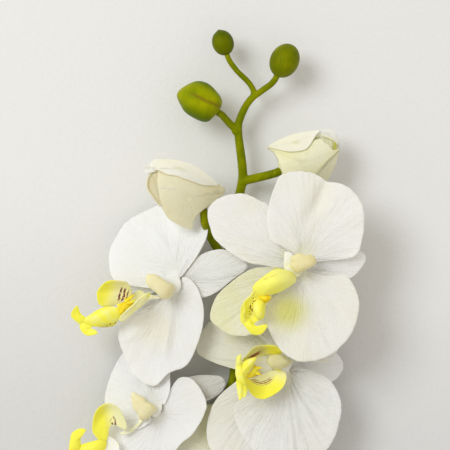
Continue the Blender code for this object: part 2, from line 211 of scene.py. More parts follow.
creamVein = 0.00013
clothLooks = {
    "white": {"plain": (0.94, 0.94, 0.92), "warm": (0.92, 0.91, 0.86), "paintedHubShade": (0.92, 0.91, 0.82)},
    "warm": {"plain": (0.93, 0.92, 0.86), "warm": (0.90, 0.875, 0.76)},
    # a yellowish copy of the white: painted shade, and painted yellow light thrown from the lips
    "paintedStrawShade": {"plain": (0.90, 0.885, 0.72), "warm": (0.86, 0.84, 0.54)},
    # a greyer copy of the white: painted shade on a sepal that lies under the others
    "paintedShade": {"plain": (0.82, 0.81, 0.76), "warm": (0.79, 0.77, 0.70)},
    # a lighter white: painted light against the shade that its crinkles and the bloom above give
    "crinkled": {"plain": (0.97, 0.965, 0.92), "warm": (0.95, 0.94, 0.86), "veinDepth": 0.0008},
    # a lighter copy of the white: painted light on sepals that lie in shade
    "paintedLight": {"plain": (0.99, 0.985, 0.95), "warm": (0.97, 0.96, 0.90), "paintedHubShade": (0.92, 0.91, 0.82)},
    # a yellow painted shadow of the lip on the petal under it, round a given point
    "paintedLipShadow": {"plain": (0.93, 0.92, 0.85), "warm": (0.91, 0.89, 0.76),
                 "paintedShadow": (0.0342, 0.0788, 0.0), "paintedShadowSize": (0.002, 0.0145), "paintedShadowTint": (0.70, 0.68, 0.20)},
    # a cream painted shade along the petal's trough, round a given point
    "trough": {"plain": (0.94, 0.94, 0.92), "warm": (0.91, 0.90, 0.85), "paintedHubShade": (0.92, 0.91, 0.82),
               "paintedShadow": (-0.0290, 0.0700, 0.0), "paintedShadowSize": (0.002, 0.016), "paintedShadowTint": (0.90, 0.87, 0.72)},
    # the bud creams include a lit copy and a shaded copy, painted light and painted shade
    "creamLit": {"plain": (0.97, 0.95, 0.79), "warm": (0.95, 0.92, 0.70), "veinDepth": creamVein},
    "creamShaded": {"plain": (0.88, 0.82, 0.55), "warm": (0.82, 0.74, 0.43), "veinDepth": creamVein},
    "creamYellow": {"plain": (0.95, 0.92, 0.64), "warm": (0.91, 0.87, 0.50), "veinDepth": creamVein},
    "creamSide": {"plain": (0.82, 0.79, 0.57), "warm": (0.77, 0.73, 0.48), "veinDepth": creamVein},
    # the inside cream is partly the golden tan of the inner petals, partly painted shade of the hollow
    "creamInside": {"plain": (0.76, 0.69, 0.45), "warm": (0.66, 0.52, 0.27), "veinDepth": creamVein},
    "creamPale": {"plain": (0.92, 0.91, 0.82), "warm": (0.88, 0.86, 0.74), "veinDepth": creamVein},
    # the edge colours are the flaps' own edge tint with a painted shadow line under the edge
    "goldEdgeAndShadow": {"plain": (0.86, 0.74, 0.46), "warm": (0.78, 0.62, 0.30)},
    "limeEdgeAndShadow": {"plain": (0.92, 0.90, 0.48), "warm": (0.86, 0.82, 0.36)},
    "tipGreen": {"plain": (0.76, 0.76, 0.16), "warm": (0.70, 0.68, 0.12)},
}
# the hub tint is painted shade: yellowish shade and light that the lip and column throw near the hub
clothShared = {
    "paintedHubShade": (0.78, 0.77, 0.45), "paintedHubShadeTo": 0.30, "paintedHubShadeOver": (0.25, 0.6), "paintedHubShadeShare": 0.75,
    "warmOver": (0.38, 0.66), "blotchScale": 45.0, "paintedShadowShare": 0.95,
    "roughness": 0.85, "gloss": 0.15, "glow": 0.25, "glowReach": 0.003, "glowColour": (1.0, 0.95, 0.8),
    "driftAcross": 1.5, "driftAlong": 1.2, "driftBlade": 3.0, "driftScale": 1.6,
    "veinAcross": 22.0, "veinAlong": 1.6, "veinBlade": 7.0, "veinSway": 2.0, "veinHeight": 2.2,
    "veinDepth": 0.00036, "hubFade": (0.02, 0.2), "grainScale": 1300.0, "grainHeight": 0.8}


def clothFinish(name, look):
    look = {**clothShared, **look}
    cloth = softFinish(name, look)
    across, along, which = cloth.bladePlace()
    place = cloth.coords()
    drift = cloth.cloud(cloth.vector(across * look["driftAcross"], along * look["driftAlong"],
                                     which * look["driftBlade"]), look["driftScale"])
    fan = cloth.cloud(cloth.vector(across * look["veinAcross"] + drift * look["veinSway"],
                                   along * look["veinAlong"], which * look["veinBlade"]),
                      scale=1.0, detail=4.0, roughness=0.6)
    blotch = cloth.cloud(place, look["blotchScale"])
    tone = cloth.tint(blotch.between(*look["warmOver"]), look["plain"], look["warm"])
    # painted shade near the hub, broken up by the blotches
    paintedHubShade = (1.0 - along.between(0.0, look["paintedHubShadeTo"])) * blotch.between(*look["paintedHubShadeOver"])
    tone = cloth.tint(paintedHubShade * look["paintedHubShadeShare"], tone, look["paintedHubShade"])
    # a painted shadow: the colour turns to its tint round a given point
    if "paintedShadow" in look:
        flat = cloth.stretched(place, (1.0, 1.0, 0.0))
        sockets = {0: flat, 1: look["paintedShadow"]}
        away = cloth.node("ShaderNodeVectorMath", {"operation": "DISTANCE"}, sockets, "Value")
        paintedShadow = (1.0 - away.between(*look["paintedShadowSize"])) * look["paintedShadowShare"]
        tone = cloth.tint(paintedShadow, tone, look["paintedShadowTint"])
    cloth.colour(tone)
    fade = along.between(*look["hubFade"])
    grain = cloth.cloud(place, look["grainScale"], detail=2.0, roughness=0.7)
    cloth.relief((fan * look["veinHeight"] + drift) * fade + grain * look["grainHeight"], look["veinDepth"])
    return cloth.material


clothFinishes = {name: clothFinish(name + "Cloth", look) for name, look in clothLooks.items()}


# Smooth lines

# points from one given point of a curve to the next
curveSteps = {"rim": 8, "line": 6, "bar": 4}


def curvePath(points, steps, closed=False):
    # points on a smooth curve through the given ones
    points = [Vector(point) for point in points]
    if closed:
        ends = [points[-1], *points, points[0], points[1]]
    else:
        ends = [points[0] * 2 - points[1], *points, points[-1] * 2 - points[-2]]
    path = []
    for a, b, c, d in zip(ends, ends[1:], ends[2:], ends[3:]):
        for step in range(steps):
            t = step / steps
            path.append(0.5 * (2 * b + (c - a) * t + (2 * a - 5 * b + 4 * c - d) * t ** 2
                               + (3 * b - a - 3 * c + d) * t ** 3))
    path.append(points[0] if closed else points[-1])
    return path


def evenPath(path, count):
    # that many points at even steps along the path, both ends included
    reach = [0.0]
    for a, b in zip(path, path[1:]):
        reach.append(reach[-1] + (b - a).length)
    even, at = [], 0
    for step in range(count):
        want = reach[-1] * step / (count - 1)
        while at < len(path) - 2 and reach[at + 1] < want:
            at += 1
        share = (want - reach[at]) / max(reach[at + 1] - reach[at], 1e-9)
        even.append(path[at].lerp(path[at + 1], min(1.0, share)))
    return even


# Blades: petals and sepals

hubRadius = 3.2
edgeSteps = 72
bladeGrid = (edgeSteps, 20)
edgeWaver = {"depth": 0.014, "often": 0.8, "seed": 3.0}
thickness = {"cloth": 0.45, "lip": 0.7}
layerHeight = {"sepals": 0.0, "petals": 1.4}

# how a blade lifts off its bend: waves at its tip, soft and fine creases, ridges, a groove along it
bladeForm = {
    "rippleWaves": 6, "rippleTurn": 3, "rippleRise": 3, "seedStep": 0.37,
    "soft": (3.2, 1.3), "fine": (7.0, 2.0), "fineSeed": 5, "fineShare": 0.5,
    "ridge": (14.0, 1.6), "ridgeSeed": 9, "ridgeHeight": 3, "ridgeEnd": 1.15,
    "grooveDepth": 0.5, "grooveWidth": 1.6}


def bend(distance, length, tilt, curl):
    # run, rise and slope on a strip that leaves at one slope and turns evenly to another
    if abs(curl) < 0.01:
        return distance * cos(tilt), distance * sin(tilt), tilt
    turn = tilt + curl * distance / length
    radius = length / curl
    return radius * (sin(turn) - sin(tilt)), radius * (cos(tilt) - cos(turn)), turn


# flat patterns of the petals and sepals, like a cut sheet: along the blade, then to its side
patterns = {
    "a_upper": [
        (3, -4), (11.5, -19), (15.5, -22.5), (22.5, -22), (30.5, -19.5), (38, -15), (42.5, -7.5),
        (43, -0.5), (41.5, 4.5), (42.5, 11.5), (40, 19.5), (35.5, 25.5), (30, 26.5), (20.5, 25.5),
        (13, 23.5), (7.5, 20), (4.5, 17), (4.5, 10), (2.5, 6)],
    "a_lower": [
        (4, -6), (11.5, -14), (14.5, -18.5), (19.5, -21), (26, -21.5), (36.5, -18.5), (42.5, -14),
        (45.5, -8), (46, -1.5), (44.5, 6.5), (38, 16), (30.5, 21), (23, 23.5), (14.5, 22.5), (8.5, 19),
        (8, 12.5), (5.5, 7), (2.5, 3.5)],
    "a_lat_up": [
        (5, -2), (11.5, -6.5), (19.5, -11.5), (29, -16), (32, -15.5), (39, -15), (44.5, -12), (49, -7.5),
        (51.5, -2), (50.5, 3), (47, 7), (41, 11.5), (30, 13), (21.5, 12.5), (16.5, 10.5), (7.5, 6.5),
        (2.5, 3.5)],
    "a_lat_low": [
        (4.5, -2), (13, -9), (18.5, -12.5), (25.5, -14), (37, -14), (43, -12.5), (48, -9.5), (50.5, -6.5),
        (50.5, -2.5), (48.5, 4), (44.5, 8.5), (38.5, 12), (32.5, 14), (25.5, 12.5), (17.5, 9), (7.5, 2.5)],
    "a_dorsal": [
        (4, -3.5), (11, -7), (19, -7), (26, -4.5), (31.5, 3), (30, 7), (24, 9.5), (15, 10.5), (8, 8.5),
        (3.5, 4)],
    "b_upper": [
        (3, -4), (11.5, -15), (20.5, -22), (32, -21), (38, -15), (42.5, -5.5), (43, 3.5), (39.5, 17),
        (33, 24), (27, 28.5), (20.5, 30), (13, 30), (8.5, 27), (5.5, 21.5), (2, 13), (-0.5, 4)],
    "b_lower": [
        (5.5, -3.5), (15.5, -8.5), (19, -13), (21.5, -17.5), (26, -20.5), (31, -20.5), (36, -18.5),
        (47, -10), (50, -5), (51, 1), (49.5, 5), (41.5, 9.5), (38, 14.5), (32, 18), (18, 19), (8.5, 17.5),
        (2, 14), (-2.5, 10), (-5, 5.5), (-4.5, 2)],
    "b_dorsal": [
        (2.5, -5), (6.5, -8.5), (11, -10), (17.5, -9.5), (27, -6), (35.5, -2.5), (33.5, 3.5), (27.5, 9),
        (20, 10.5), (12.5, 9), (5, 3.5)],
    "c_lower": [
        (2.5, -4), (8.5, -9.5), (11.5, -16.5), (15, -22.5), (20.5, -25.5), (30.5, -23), (41.5, -15.5),
        (46, -9), (48.5, 0), (47, 8.5), (43, 16.5), (36.5, 22), (27, 25.5), (19.5, 26.5), (13.5, 25),
        (7, 21), (3, 14), (0.5, 5)],
    "c_dorsal": [
        (3.5, -3.5), (11, -9), (18.5, -10.5), (27, -8), (31.5, -3.5), (31.5, 0.5), (27.5, 5), (19, 7.5),
        (10.5, 6.5), (3.5, 2.5)],
    "c_lat_up": [
        (4, -1.5), (11.5, -8.5), (21, -13), (31.5, -14.5), (39.5, -12), (43.5, -5.5), (44.5, 2), (43, 7),
        (37.5, 8.5), (30, 9), (20.5, 8.5), (11, 6), (3, 2.5)],
    "c_lat_low": [
        (3, -1.5), (16.5, -8), (25, -9), (35, -8.5), (43, -5), (50, 1), (53.5, 7.5), (54, 14.5), (49, 21),
        (39, 22.5), (27, 18.5), (15.5, 12), (5, 3.5)],
    "d_upper": [
        (-0.5, -5), (3, -10.5), (8.5, -14.5), (15.5, -18), (23, -17.5), (31.5, -13), (34.5, -5), (33, 2),
        (29, 8.5), (23.5, 15), (18, 19.5), (10.5, 21), (2.5, 19), (-3, 13), (-3.5, 5.5)],
    "d_lower": [
        (2, -5), (3, -11.5), (5.5, -17.5), (0.5, -21), (2, -25), (7, -27.5), (13.5, -28.5), (21.5, -25.5),
        (27.5, -19), (28.5, -10.5), (25, -1), (19, 7.5), (16.5, 13.5), (11, 20), (5, 24.5), (-1.5, 24.5),
        (-9, 21.5), (-12, 16.5), (-10.5, 12.5), (-5.5, 8), (-2, 4)],
    "d_dorsal": [
        (2, -4), (8.5, -5.5), (25.5, -4.5), (32, -3), (35.5, 0), (35, 4), (29.5, 7), (20.5, 9.5),
        (11.5, 8.5), (4.5, 4)],
    "e_lat_up": [
        (8, -4.5), (18, -9), (28.5, -12), (37.5, -14), (43, -12.5), (45, -6), (46.5, 11), (45, 18),
        (38, 22), (26, 20), (13, 12.5), (4.5, 4)],
}


def plainPattern(look, sideSteps=8):
    # the pattern of a blade that the photograph hides
    pattern = []
    for step in range(-sideSteps, sideSteps + 1):
        fan = radians(look["spread"]) * (step / sideSteps)
        narrowing = cos(fan) ** 2 + (look["slim"] * sin(fan)) ** 2
        reach = look["length"] * cos(fan) ** look["shoulder"] / narrowing
        pattern.append((reach * cos(fan), reach * sin(fan)))
    return pattern


def cutEdge(rim, seed):
    # even points along the rim, which wavers a little like cut cloth
    edge = evenPath(curvePath([(*point, 0) for point in rim], curveSteps["line"]), edgeSteps + 1)
    waver = [noise.noise(Vector((index * edgeWaver["often"], seed, edgeWaver["seed"])))
             for index in range(len(edge))]
    return [point * (1 + edgeWaver["depth"] * push) for point, push in zip(edge, waver)]


bladeShared = {"pattern": None, "folds": (), "wrinkle": 0.1, "finish": "warm"}
petalShared = {**bladeShared, "slim": 1.14, "spread": 64, "shoulder": 0.5, "cup": 0.1, "ripple": 0.5,
               "crease": 0.5, "claw": 1.25, "arc": 86}
sepalShared = {**bladeShared, "slim": 1.6, "spread": 40, "shoulder": 1.0, "cup": 0.0, "ripple": 0.4,
               "crease": 0.4, "claw": 1.15, "arc": 58}


def bladeLook(shared, angle, length, tilt, curl, changes):
    # angle round the flower, length, slope at the hub and turn from there to the tip
    look = {**shared, "angle": angle, "length": length, "tilt": tilt, "curl": curl, **changes}
    rim = patterns[look["pattern"]] if look["pattern"] else plainPattern(look)
    return {**look, "edge": cutEdge(rim, angle)}


def petal(angle, length, tilt, curl, **changes):
    return bladeLook(petalShared, angle, length, tilt, curl, changes)


def sepal(angle, length, tilt, curl, **changes):
    return bladeLook(sepalShared, angle, length, tilt, curl, changes)


def creases(across, along, often, seed):
    # uneven waves, that often across and along a blade
    return noise.noise(Vector((across * often[0], along * often[1], seed)))


def bladePoint(blade, across, along):
    # the point at that share across and along a blade, in its flower's own frame
    form = bladeForm
    rim = blade["edge"][round((across + 1) / 2 * edgeSteps)]
    ring = radians(blade["arc"]) * across / 2
    startX, startY = hubRadius * cos(ring), hubRadius * sin(ring)
    distance = (rim.x - startX) * along
    side = startY + (rim.y - startY) * along ** blade["claw"]
    run, rise, slope = bend(distance, blade["length"], radians(blade["tilt"]), radians(blade["curl"]))
    lift = blade["cup"] * (side / blade["length"]) ** 2 * blade["length"]
    wave = sin(form["rippleWaves"] * across + radians(form["rippleTurn"] * blade["angle"]))
    lift += blade["ripple"] * wave * along ** form["rippleRise"]
    seed = blade["angle"] * form["seedStep"]
    lift += blade["crease"] * creases(across, along, form["soft"], seed) * along
    fine = creases(across, along, form["fine"], seed + form["fineSeed"])
    lift += blade["crease"] * form["fineShare"] * fine * along
    ridges = creases(across, along, form["ridge"], seed + form["ridgeSeed"])
    lift += blade["wrinkle"] * form["ridgeHeight"] * ridges * along * (form["ridgeEnd"] - along)
    lift -= form["grooveDepth"] * exp(-(side / form["grooveWidth"]) ** 2) * along * (1 - along)
    for foldAlong, foldSide, heading, long, wide, height in blade["folds"]:
        dx, dy = distance + startX - foldAlong, side - foldSide
        turn = radians(heading)
        u, v = dx * cos(turn) + dy * sin(turn), dy * cos(turn) - dx * sin(turn)
        lift += height * exp(-(u / long) ** 2 - (v / wide) ** 2)
    x = startX + run - lift * sin(slope)
    z = rise + lift * cos(slope)
    return Matrix.Rotation(radians(blade["angle"]), 3, "Z") @ Vector((x, side, z))


def makeSheet(columns, rows, place, material):
    # a grid whose points are placed by its across -1..1 and along 0..1
    bpy.ops.mesh.primitive_grid_add(x_subdivisions=columns, y_subdivisions=rows, size=2.0)
    sheet = bpy.context.object
    places = sheet.data.attributes.new("bladePlace", "FLOAT_VECTOR", "POINT")
    for vertex in sheet.data.vertices:
        vertex.co, places.data[vertex.index].vector = place(vertex.co.x, (vertex.co.y + 1) / 2)
    sheet.data.materials.append(material)
    return sheet


def makeHub(blades, columns, material):
    # a disc whose rim points are the first row of each blade
    rimPoints = len(blades) * (columns + 1)
    bpy.ops.mesh.primitive_circle_add(vertices=rimPoints, radius=hubRadius, fill_type="TRIFAN")
    disc = bpy.context.object
    disc.data.attributes.new("bladePlace", "FLOAT_VECTOR", "POINT")
    rim = [vertex for vertex in disc.data.vertices if vertex.co.length > hubRadius / 2]
    for count, vertex in enumerate(rim):
        blade = blades[count // (columns + 1)]
        across = 2 * (count % (columns + 1)) / columns - 1
        vertex.co = bladePoint(blade, across, 0.0)
    disc.data.materials.append(material)
    return disc


def makeLayer(name, blades):
    columns, rows = bladeGrid
    parts = [makeHub(blades, columns, clothFinishes[blades[0]["finish"]])]
    for index, blade in enumerate(blades):
        def place(across, along):
            return bladePoint(blade, across, along), (across, along, index)
        parts.append(makeSheet(columns, rows, place, clothFinishes[blade["finish"]]))
    layer = weld(joinAll(name, parts))
    modify(layer, "SOLIDIFY", thickness=thickness["cloth"], offset=0.0)
    return smoother(layer)


def flowerFrame(bloom):
    side = Matrix.Rotation(radians(bloom["leanTo"]), 4, "Z")
    lean = side @ Matrix.Rotation(radians(bloom["lean"]), 4, "Y") @ side.inverted()
    return Matrix.Translation(Vector(bloom["hub"])) @ lean


# each fold of a petal: its place along and beside the middle, its heading, length, width and height
# some blades wear lighter or darker copies of the white cloth, painted light and painted shade
blooms = {
    "bloom_a": {
        "hub": (36.0, -18.8, 37.0), "lean": 0, "leanTo": 0,
        "sepals": [sepal(-3, 34, -3, -14, ripple=0.2, pattern="a_dorsal", finish="paintedLight"),
                   sepal(148, 48, -3, -1, ripple=0.3, pattern="a_lat_up", crease=0.7, wrinkle=0.28),
                   sepal(219, 49, -6, -4, pattern="a_lat_low", finish="paintedStrawShade", wrinkle=0.16)],
        "petals": [petal(66, 45.5, 0, -10, pattern="a_upper", crease=1.2,
                         folds=[(37, 5.5, -5, 6, 1.3, -0.9), (30, 4.5, -8, 10, 3.2, -2.2)]),
                   petal(-78, 47, 2, -6, pattern="a_lower", crease=1.0, finish="paintedLipShadow")]},
    "bloom_b": {
        "hub": (-23.5, -28.8, 22.5), "lean": 14, "leanTo": 188,
        "sepals": [sepal(18, 37, -9, -4, pattern="b_dorsal", finish="paintedLight"),
                   sepal(160, 40, -19.0, -6.2, finish="white"), sepal(245, 33, -4, -4, finish="white")],
        "petals": [petal(107, 42, -16, -12, ripple=0.3, pattern="b_upper", crease=1.0, finish="white",
                         folds=[(26, 4, 26, 13, 3.0, 1.5)]),
                   petal(-107, 50, 2, -6, pattern="b_lower", crease=0.8, finish="trough", wrinkle=0.2,
                         folds=[(38, 6.5, 4, 9, 1.6, -0.8), (25, 4, 10, 18, 2.0, 1.8),
                                (27, -12, 122, 7, 1.0, 1.5), (23.5, -11, 122, 7, 1.0, 1.5),
                                (30.5, -13, 122, 7, 1.0, 1.5)])]},
    "bloom_c": {
        "hub": (29.0, -68.2, 22.0), "lean": 0, "leanTo": 0,
        "sepals": [sepal(1, 34, -16, -24, pattern="c_dorsal", finish="paintedLight"),
                   sepal(163, 47, -8, -6, pattern="c_lat_up", finish="paintedStrawShade"),
                   sepal(219, 48, -3, -4, pattern="c_lat_low")],
        "petals": [petal(68, 40, -4, -8),
                   petal(-88, 47, 2, -6, pattern="c_lower", crease=1.4, wrinkle=1.1, finish="crinkled",
                         folds=[(24, -9, -24, 18, 1.2, 0.8), (26, 2, 4, 18, 1.1, 0.8),
                                (24, 11, 30, 16, 1.2, 0.8)])]},
    "bloom_d": {
        "hub": (-33.0, -89.7, 15.5), "lean": 10, "leanTo": 188,
        "sepals": [sepal(20, 36, -13, -4, pattern="d_dorsal", finish="paintedShade"),
                   sepal(150, 28, -15, -6, slim=1.9, finish="white"),
                   sepal(236, 36, -10, -6, finish="white")],
        "petals": [petal(126, 38, -13, -8, cup=0.15, ripple=0.3, pattern="d_upper", crease=0.9,
                         finish="white", wrinkle=0.16, folds=[(18, -4, -16, 16, 1.4, 1.0)]),
                   petal(-74, 43, 5, -6, pattern="d_lower", finish="white", wrinkle=0.16)]},
    "bloom_e": {
        "hub": (18.0, -124.3, 13.0), "lean": 0, "leanTo": 0,
        "sepals": [sepal(0, 38, -15.5, -12), sepal(141, 45, -1, -3, pattern="e_lat_up", finish="paintedStrawShade"),
                   sepal(216, 44, -3, -3)],
        "petals": [petal(72, 40, -4, -8), petal(-74, 43, 0, -8)]},
}


# Round bars and swept solids


def curveBar(name, path, radii, resolution=3):
    # a bevelled curve made a mesh
    curve = bpy.data.curves.new(name, "CURVE")
    curve.dimensions = "3D"
    curve.bevel_depth = 1.0
    curve.bevel_resolution = resolution
    curve.use_fill_caps = True
    line = curve.splines.new("POLY")
    line.points.add(len(path) - 1)
    for point, place, radius in zip(line.points, path, radii):
        point.co = (*place, 1.0)
        point.radius = radius
    bar = bpy.data.objects.new(name, curve)
    bpy.context.collection.objects.link(bar)
    choose(bar)
    bpy.ops.object.convert(target="MESH")
    return bpy.context.object


def taper(first, last, count):
    return [first + (last - first) * i / (count - 1) for i in range(count)]


# Camera, floor and light, as in the photograph: straight above the laid stem

view = {"over": (0.0044, 0.1195), "height": 1.0, "sensorMm": 36.0, "field": 0.216, "fieldHeight": 0.030}

cameraData = bpy.data.cameras.new("viewFromAbove")
cameraData.sensor_width = view["sensorMm"]
cameraData.lens = view["sensorMm"] * (view["height"] - view["fieldHeight"]) / view["field"]
camera = bpy.data.objects.new("viewFromAbove", cameraData)
camera.location = (*view["over"], view["height"])
bpy.context.collection.objects.link(camera)
bpy.context.scene.camera = camera
bpy.context.scene.view_settings.view_transform = "Standard"

light = {
    "key": {"from": (-0.92, 0.62, 1.45), "size": 0.95, "power": 15.2, "colour": (0.93, 0.97, 1.0)},
    "room": (1.0, 0.965, 0.915), "roomStrength": 0.67,
}


def areaLight(name, look, target):
    data = bpy.data.lights.new(name, "AREA")
    data.shape = "DISK"
    data.size = look["size"]
    data.energy = look["power"]
    data.color = look["colour"]
    lamp = bpy.data.objects.new(name, data)
    lamp.location = Vector(target) + Vector(look["from"])
    lamp.rotation_euler = Vector(look["from"]).to_track_quat("Z", "Y").to_euler()
    bpy.context.collection.objects.link(lamp)


areaLight("keyLight", light["key"], (*view["over"], 0.0))
world = bpy.data.worlds.new("room")
bpy.context.scene.world = world
world.use_nodes = True
background = world.node_tree.nodes["Background"]
background.inputs["Color"].default_value = (*light["room"], 1.0)
background.inputs["Strength"].default_value = light["roomStrength"]

boardLook = {
    "pale": (0.818, 0.812, 0.792), "paintedFalloffGrey": (0.685, 0.682, 0.675), "size": 6.0, "roughness": 0.8,
    "lightest": 0.15, "darkest": 0.0, "slant": 0.15, "cloudScale": 14.0, "cloudShare": 0.03,
    "grainScale": 420.0, "grainDepth": 0.0004, "grainStrength": 0.6}


def boardFinish(look):
    board = Finish("paleBoard", Roughness=look["roughness"])
    place = board.coords()
    split = board.node("ShaderNodeSeparateXYZ", {}, {"Vector": place})
    cloud = board.cloud(place, look["cloudScale"], detail=4.0)
    # painted falloff of the light: darker towards the bottom and the left, lighter at the upper right
    height = split.out("Y") + split.out("X") * look["slant"] + cloud * look["cloudShare"]
    board.colour(board.tint(height.between(look["darkest"], look["lightest"]), look["paintedFalloffGrey"], look["pale"]))
    grain = board.cloud(place, look["grainScale"], roughness=0.6)
    board.relief(grain, look["grainDepth"], look["grainStrength"])
    return board.material


bpy.ops.mesh.primitive_plane_add(size=boardLook["size"], location=(0, 0, 0))
floor = bpy.context.object
floor.name = "floor"
floor.data.materials.append(boardFinish(boardLook))
print("camera, light and floor are set")


# Stem and pedicels

stemLook = {
    "radius": 2.1, "tipRadius": 1.5, "taperPoints": 24, "voxel": 0.42, "grow": 0.22, "straightEnd": 1.5,
    "scale": {"rise": 0.35, "back": 0.6, "reach": (0.0, 2.2, 4.0), "radii": (2.5, 2.1, 0.8)},
    "line": [
        (15.6, 64.5, 12.5), (10.8, 59.2, 12), (7.3, 51.8, 12), (6.4, 46.4, 12), (7.3, 38.1, 12),
        (8.3, 30.3, 11), (8.6, 22.5, 10), (6.4, 12.0, 9.5), (3.0, -1.0, 9), (1.4, -18.0, 8.5),
        (1.3, -38.0, 8), (3.2, -55.0, 7.5), (4.8, -67.0, 7.5), (3.4, -78.0, 7.5), (-1.6, -87.0, 7.5),
        (-7.2, -96.0, 7), (-10.8, -108.0, 6.5), (-13.2, -122.0, 6.2), (-14.6, -142.0, 5.8),
        (-14.8, -168.0, 5.2), (-13.6, -200.0, 4.4), (-11.6, -235.0, 3.6), (-9.6, -270.0, 2.8),
        (-8.4, -300.0, 2.25), (-8.0, -312.0, 2.1), (-7.6, -334.0, 2.1)],
}

# each pedicel: its line up to a little before its seat, first and last radius, side of its scale leaf
pedicels = {
    "small_green_bud": ([(13.6, 62.4, 12.3), (13.9, 65.6, 12.6), (11.4, 69.8, 13), (6.2, 74.8, 14),
                         (2.8, 79.2, 14)], 1.25, 1.15, None),
    "round_green_bud": ([(13.6, 62.4, 12.3), (18.6, 66.0, 13), (22.3, 68.6, 14)], 1.4, 1.4, None),
    "large_green_bud": ([(6.6, 45.4, 12), (2.4, 49.4, 13.2)], 1.7, 1.6, (-1.0, 0.1)),
    "right_cream_bud": ([(8.2, 21.4, 10), (14.8, 22.9, 11.5), (20.6, 24.2, 13.8)], 2.0, 1.9, (1.0, -0.3)),
    "left_cream_bud": ([(1.5, -18.0, 8.6), (-3.0, -12.8, 10.8), (-6.2, -7.4, 14.6), (-8.0, -3.0, 20.0),
                        (-9.8, 1.4, 24.6)], 2.0, 1.8, (-1.0, 0.8)),
    "bloom_a": ([(1.4, -32.0, 8.2), (9, -31.0, 10), (19, -27.5, 13.5), (31.0, -21.5, 20)],
                2.0, 1.9, (1.0, 0.2)),
    "bloom_b": ([(1.4, -26.0, 8.4), (-5.0, -25.0, 10.0), (-12.0, -25.5, 12.5), (-18.0, -27.2, 15.2)],
                2.0, 1.9, (-1.0, 0.2)),
    "bloom_c": ([(-6.4, -94.5, 7.2), (2.0, -92.0, 8.0), (14.0, -84.0, 9.0), (24.6, -72.5, 11.5)],
                2.0, 1.9, (1.0, 0.1)),
    "bloom_d": ([(-8.6, -100.0, 6.8), (-15, -100.5, 6.8), (-22, -98.4, 7.0), (-28.6, -93.8, 8.2)],
                2.0, 1.9, (-1.0, 0.1)),
    "bloom_e": ([(-14.6, -142.0, 5.8), (-7, -140.5, 5.6), (3, -136.4, 5.4), (12.0, -129.6, 5.8)],
                2.0, 1.9, (1.0, 0.1)),
}

greenBuds = {
    "small_green_bud": {"centre": (-1.0, 88.9, 14.2), "towards": (-0.32, 0.94, 0.0), "length": 12.6,
                        "width": 10.6, "nub": 0.5},
    "round_green_bud": {"centre": (29.0, 80.0, 16.2), "towards": (0.45, 0.89, 0.06), "length": 17.2,
                        "width": 14.2, "nub": 0.0},
}
nubPower = 60

# where the pedicels of the half-open buds end, and the way they point there
budSeats = {"left_cream_bud": ((-10.6, 7.6, 26.8), (-0.2, 0.9, 0.35)),
            "right_cream_bud": ((27.4, 26.6, 16.4), (0.88, 0.44, 0.06))}
# the middle line of the large green bud, at whose near end its pedicel stops
largeSeat = {"centre": (-13.4, 60.6, 17.0), "towards": (-0.86, 0.50, 0.10), "length": 23.6}
# how far a pedicel ends under its bloom's hub, and how far inside its green bud
pedicelEnd = {"underHub": 0.3, "inBud": 0.4}

greenShared = {
    "gloss": 0.10, "glossTint": (1.0, 0.95, 0.25, 1.0), "glow": 0.12, "glowReach": 0.002,
    "patchScale": 130.0, "lightOver": (0.3, 0.72), "streakStretch": (1.0, 0.18, 1.0), "streakScale": 700.0,
    "paleOver": (0.55, 0.8), "paleShare": 0.35, "edgeSway": 0.5, "edgeOver": (0.35, 1.3),
    "grooveSway": 0.3, "grooveWidth": 0.2, "grooveFrom": (-0.1, 0.4), "grooveShare": 0.7,
    "roughSway": 0.18, "roughLess": 0.08, "streakHeight": 0.6, "grainScale": 1500.0, "grainHeight": 0.4}


def greenFinish(name, look):
    look = {**greenShared, **look}
    green = Finish(name, Roughness=look["roughness"], Subsurface_Weight=look["glow"],
                   Subsurface_Scale=look["glowReach"], Specular_IOR_Level=look["gloss"],
                   Specular_Tint=look["glossTint"])
    place = green.coords()
    patch = green.cloud(place, look["patchScale"])
    streak = green.cloud(green.stretched(place, look["streakStretch"]), look["streakScale"], detail=2.0)
    tone = green.tint(patch.between(*look["lightOver"]), look["deep"], look["light"])
    tone = green.tint(streak.between(*look["paleOver"]) * look["paleShare"], tone, look["pale"])
    if "groove" in look:
        across, along = green.bladePlace()[:2]
        rim = (abs(across) + (patch - 0.5) * look["edgeSway"]).between(*look["edgeOver"])
        tone = green.tint(rim, tone, look["edge"])
        line = 1.0 - abs(across + (patch - 0.5) * look["grooveSway"]).between(0.0, look["grooveWidth"])
        line = line * along.between(*look["grooveFrom"])
        tone = green.tint(line * look["grooveShare"], tone, look["groove"])
    green.colour(tone)
    green.roughness(patch * look["roughSway"] + (look["roughness"] - look["roughLess"]))
    grain = green.cloud(place, look["grainScale"], detail=1.0)
    green.relief(streak * look["streakHeight"] + grain * look["grainHeight"], look["relief"])
    return green.material


stemFinish = greenFinish("stemGreen", {
    "deep": (0.15, 0.19, 0.0005), "light": (0.26, 0.28, 0.001), "pale": (0.42, 0.42, 0.004),
    "roughness": 0.5, "relief": 0.00015})
budShared = {"roughness": 0.45, "relief": 0.00012}
budFinishes = {
    "small_green_bud": greenFinish("smallBudGreen", {
        **budShared, "deep": (0.085, 0.115, 0.0003), "light": (0.14, 0.165, 0.0006),
        "pale": (0.22, 0.235, 0.001)}),
    "round_green_bud": greenFinish("roundBudGreen", {
        **budShared, "deep": (0.13, 0.16, 0.0005), "light": (0.21, 0.23, 0.001),
        "pale": (0.33, 0.33, 0.003)}),
    "large_green_bud": greenFinish("largeBudGreen", {
        **budShared, "deep": (0.21, 0.26, 0.0005), "light": (0.36, 0.38, 0.001),
        "pale": (0.46, 0.46, 0.003), "edge": (0.09, 0.15, 0.0005), "groove": (0.20, 0.13, 0.01)}),
}


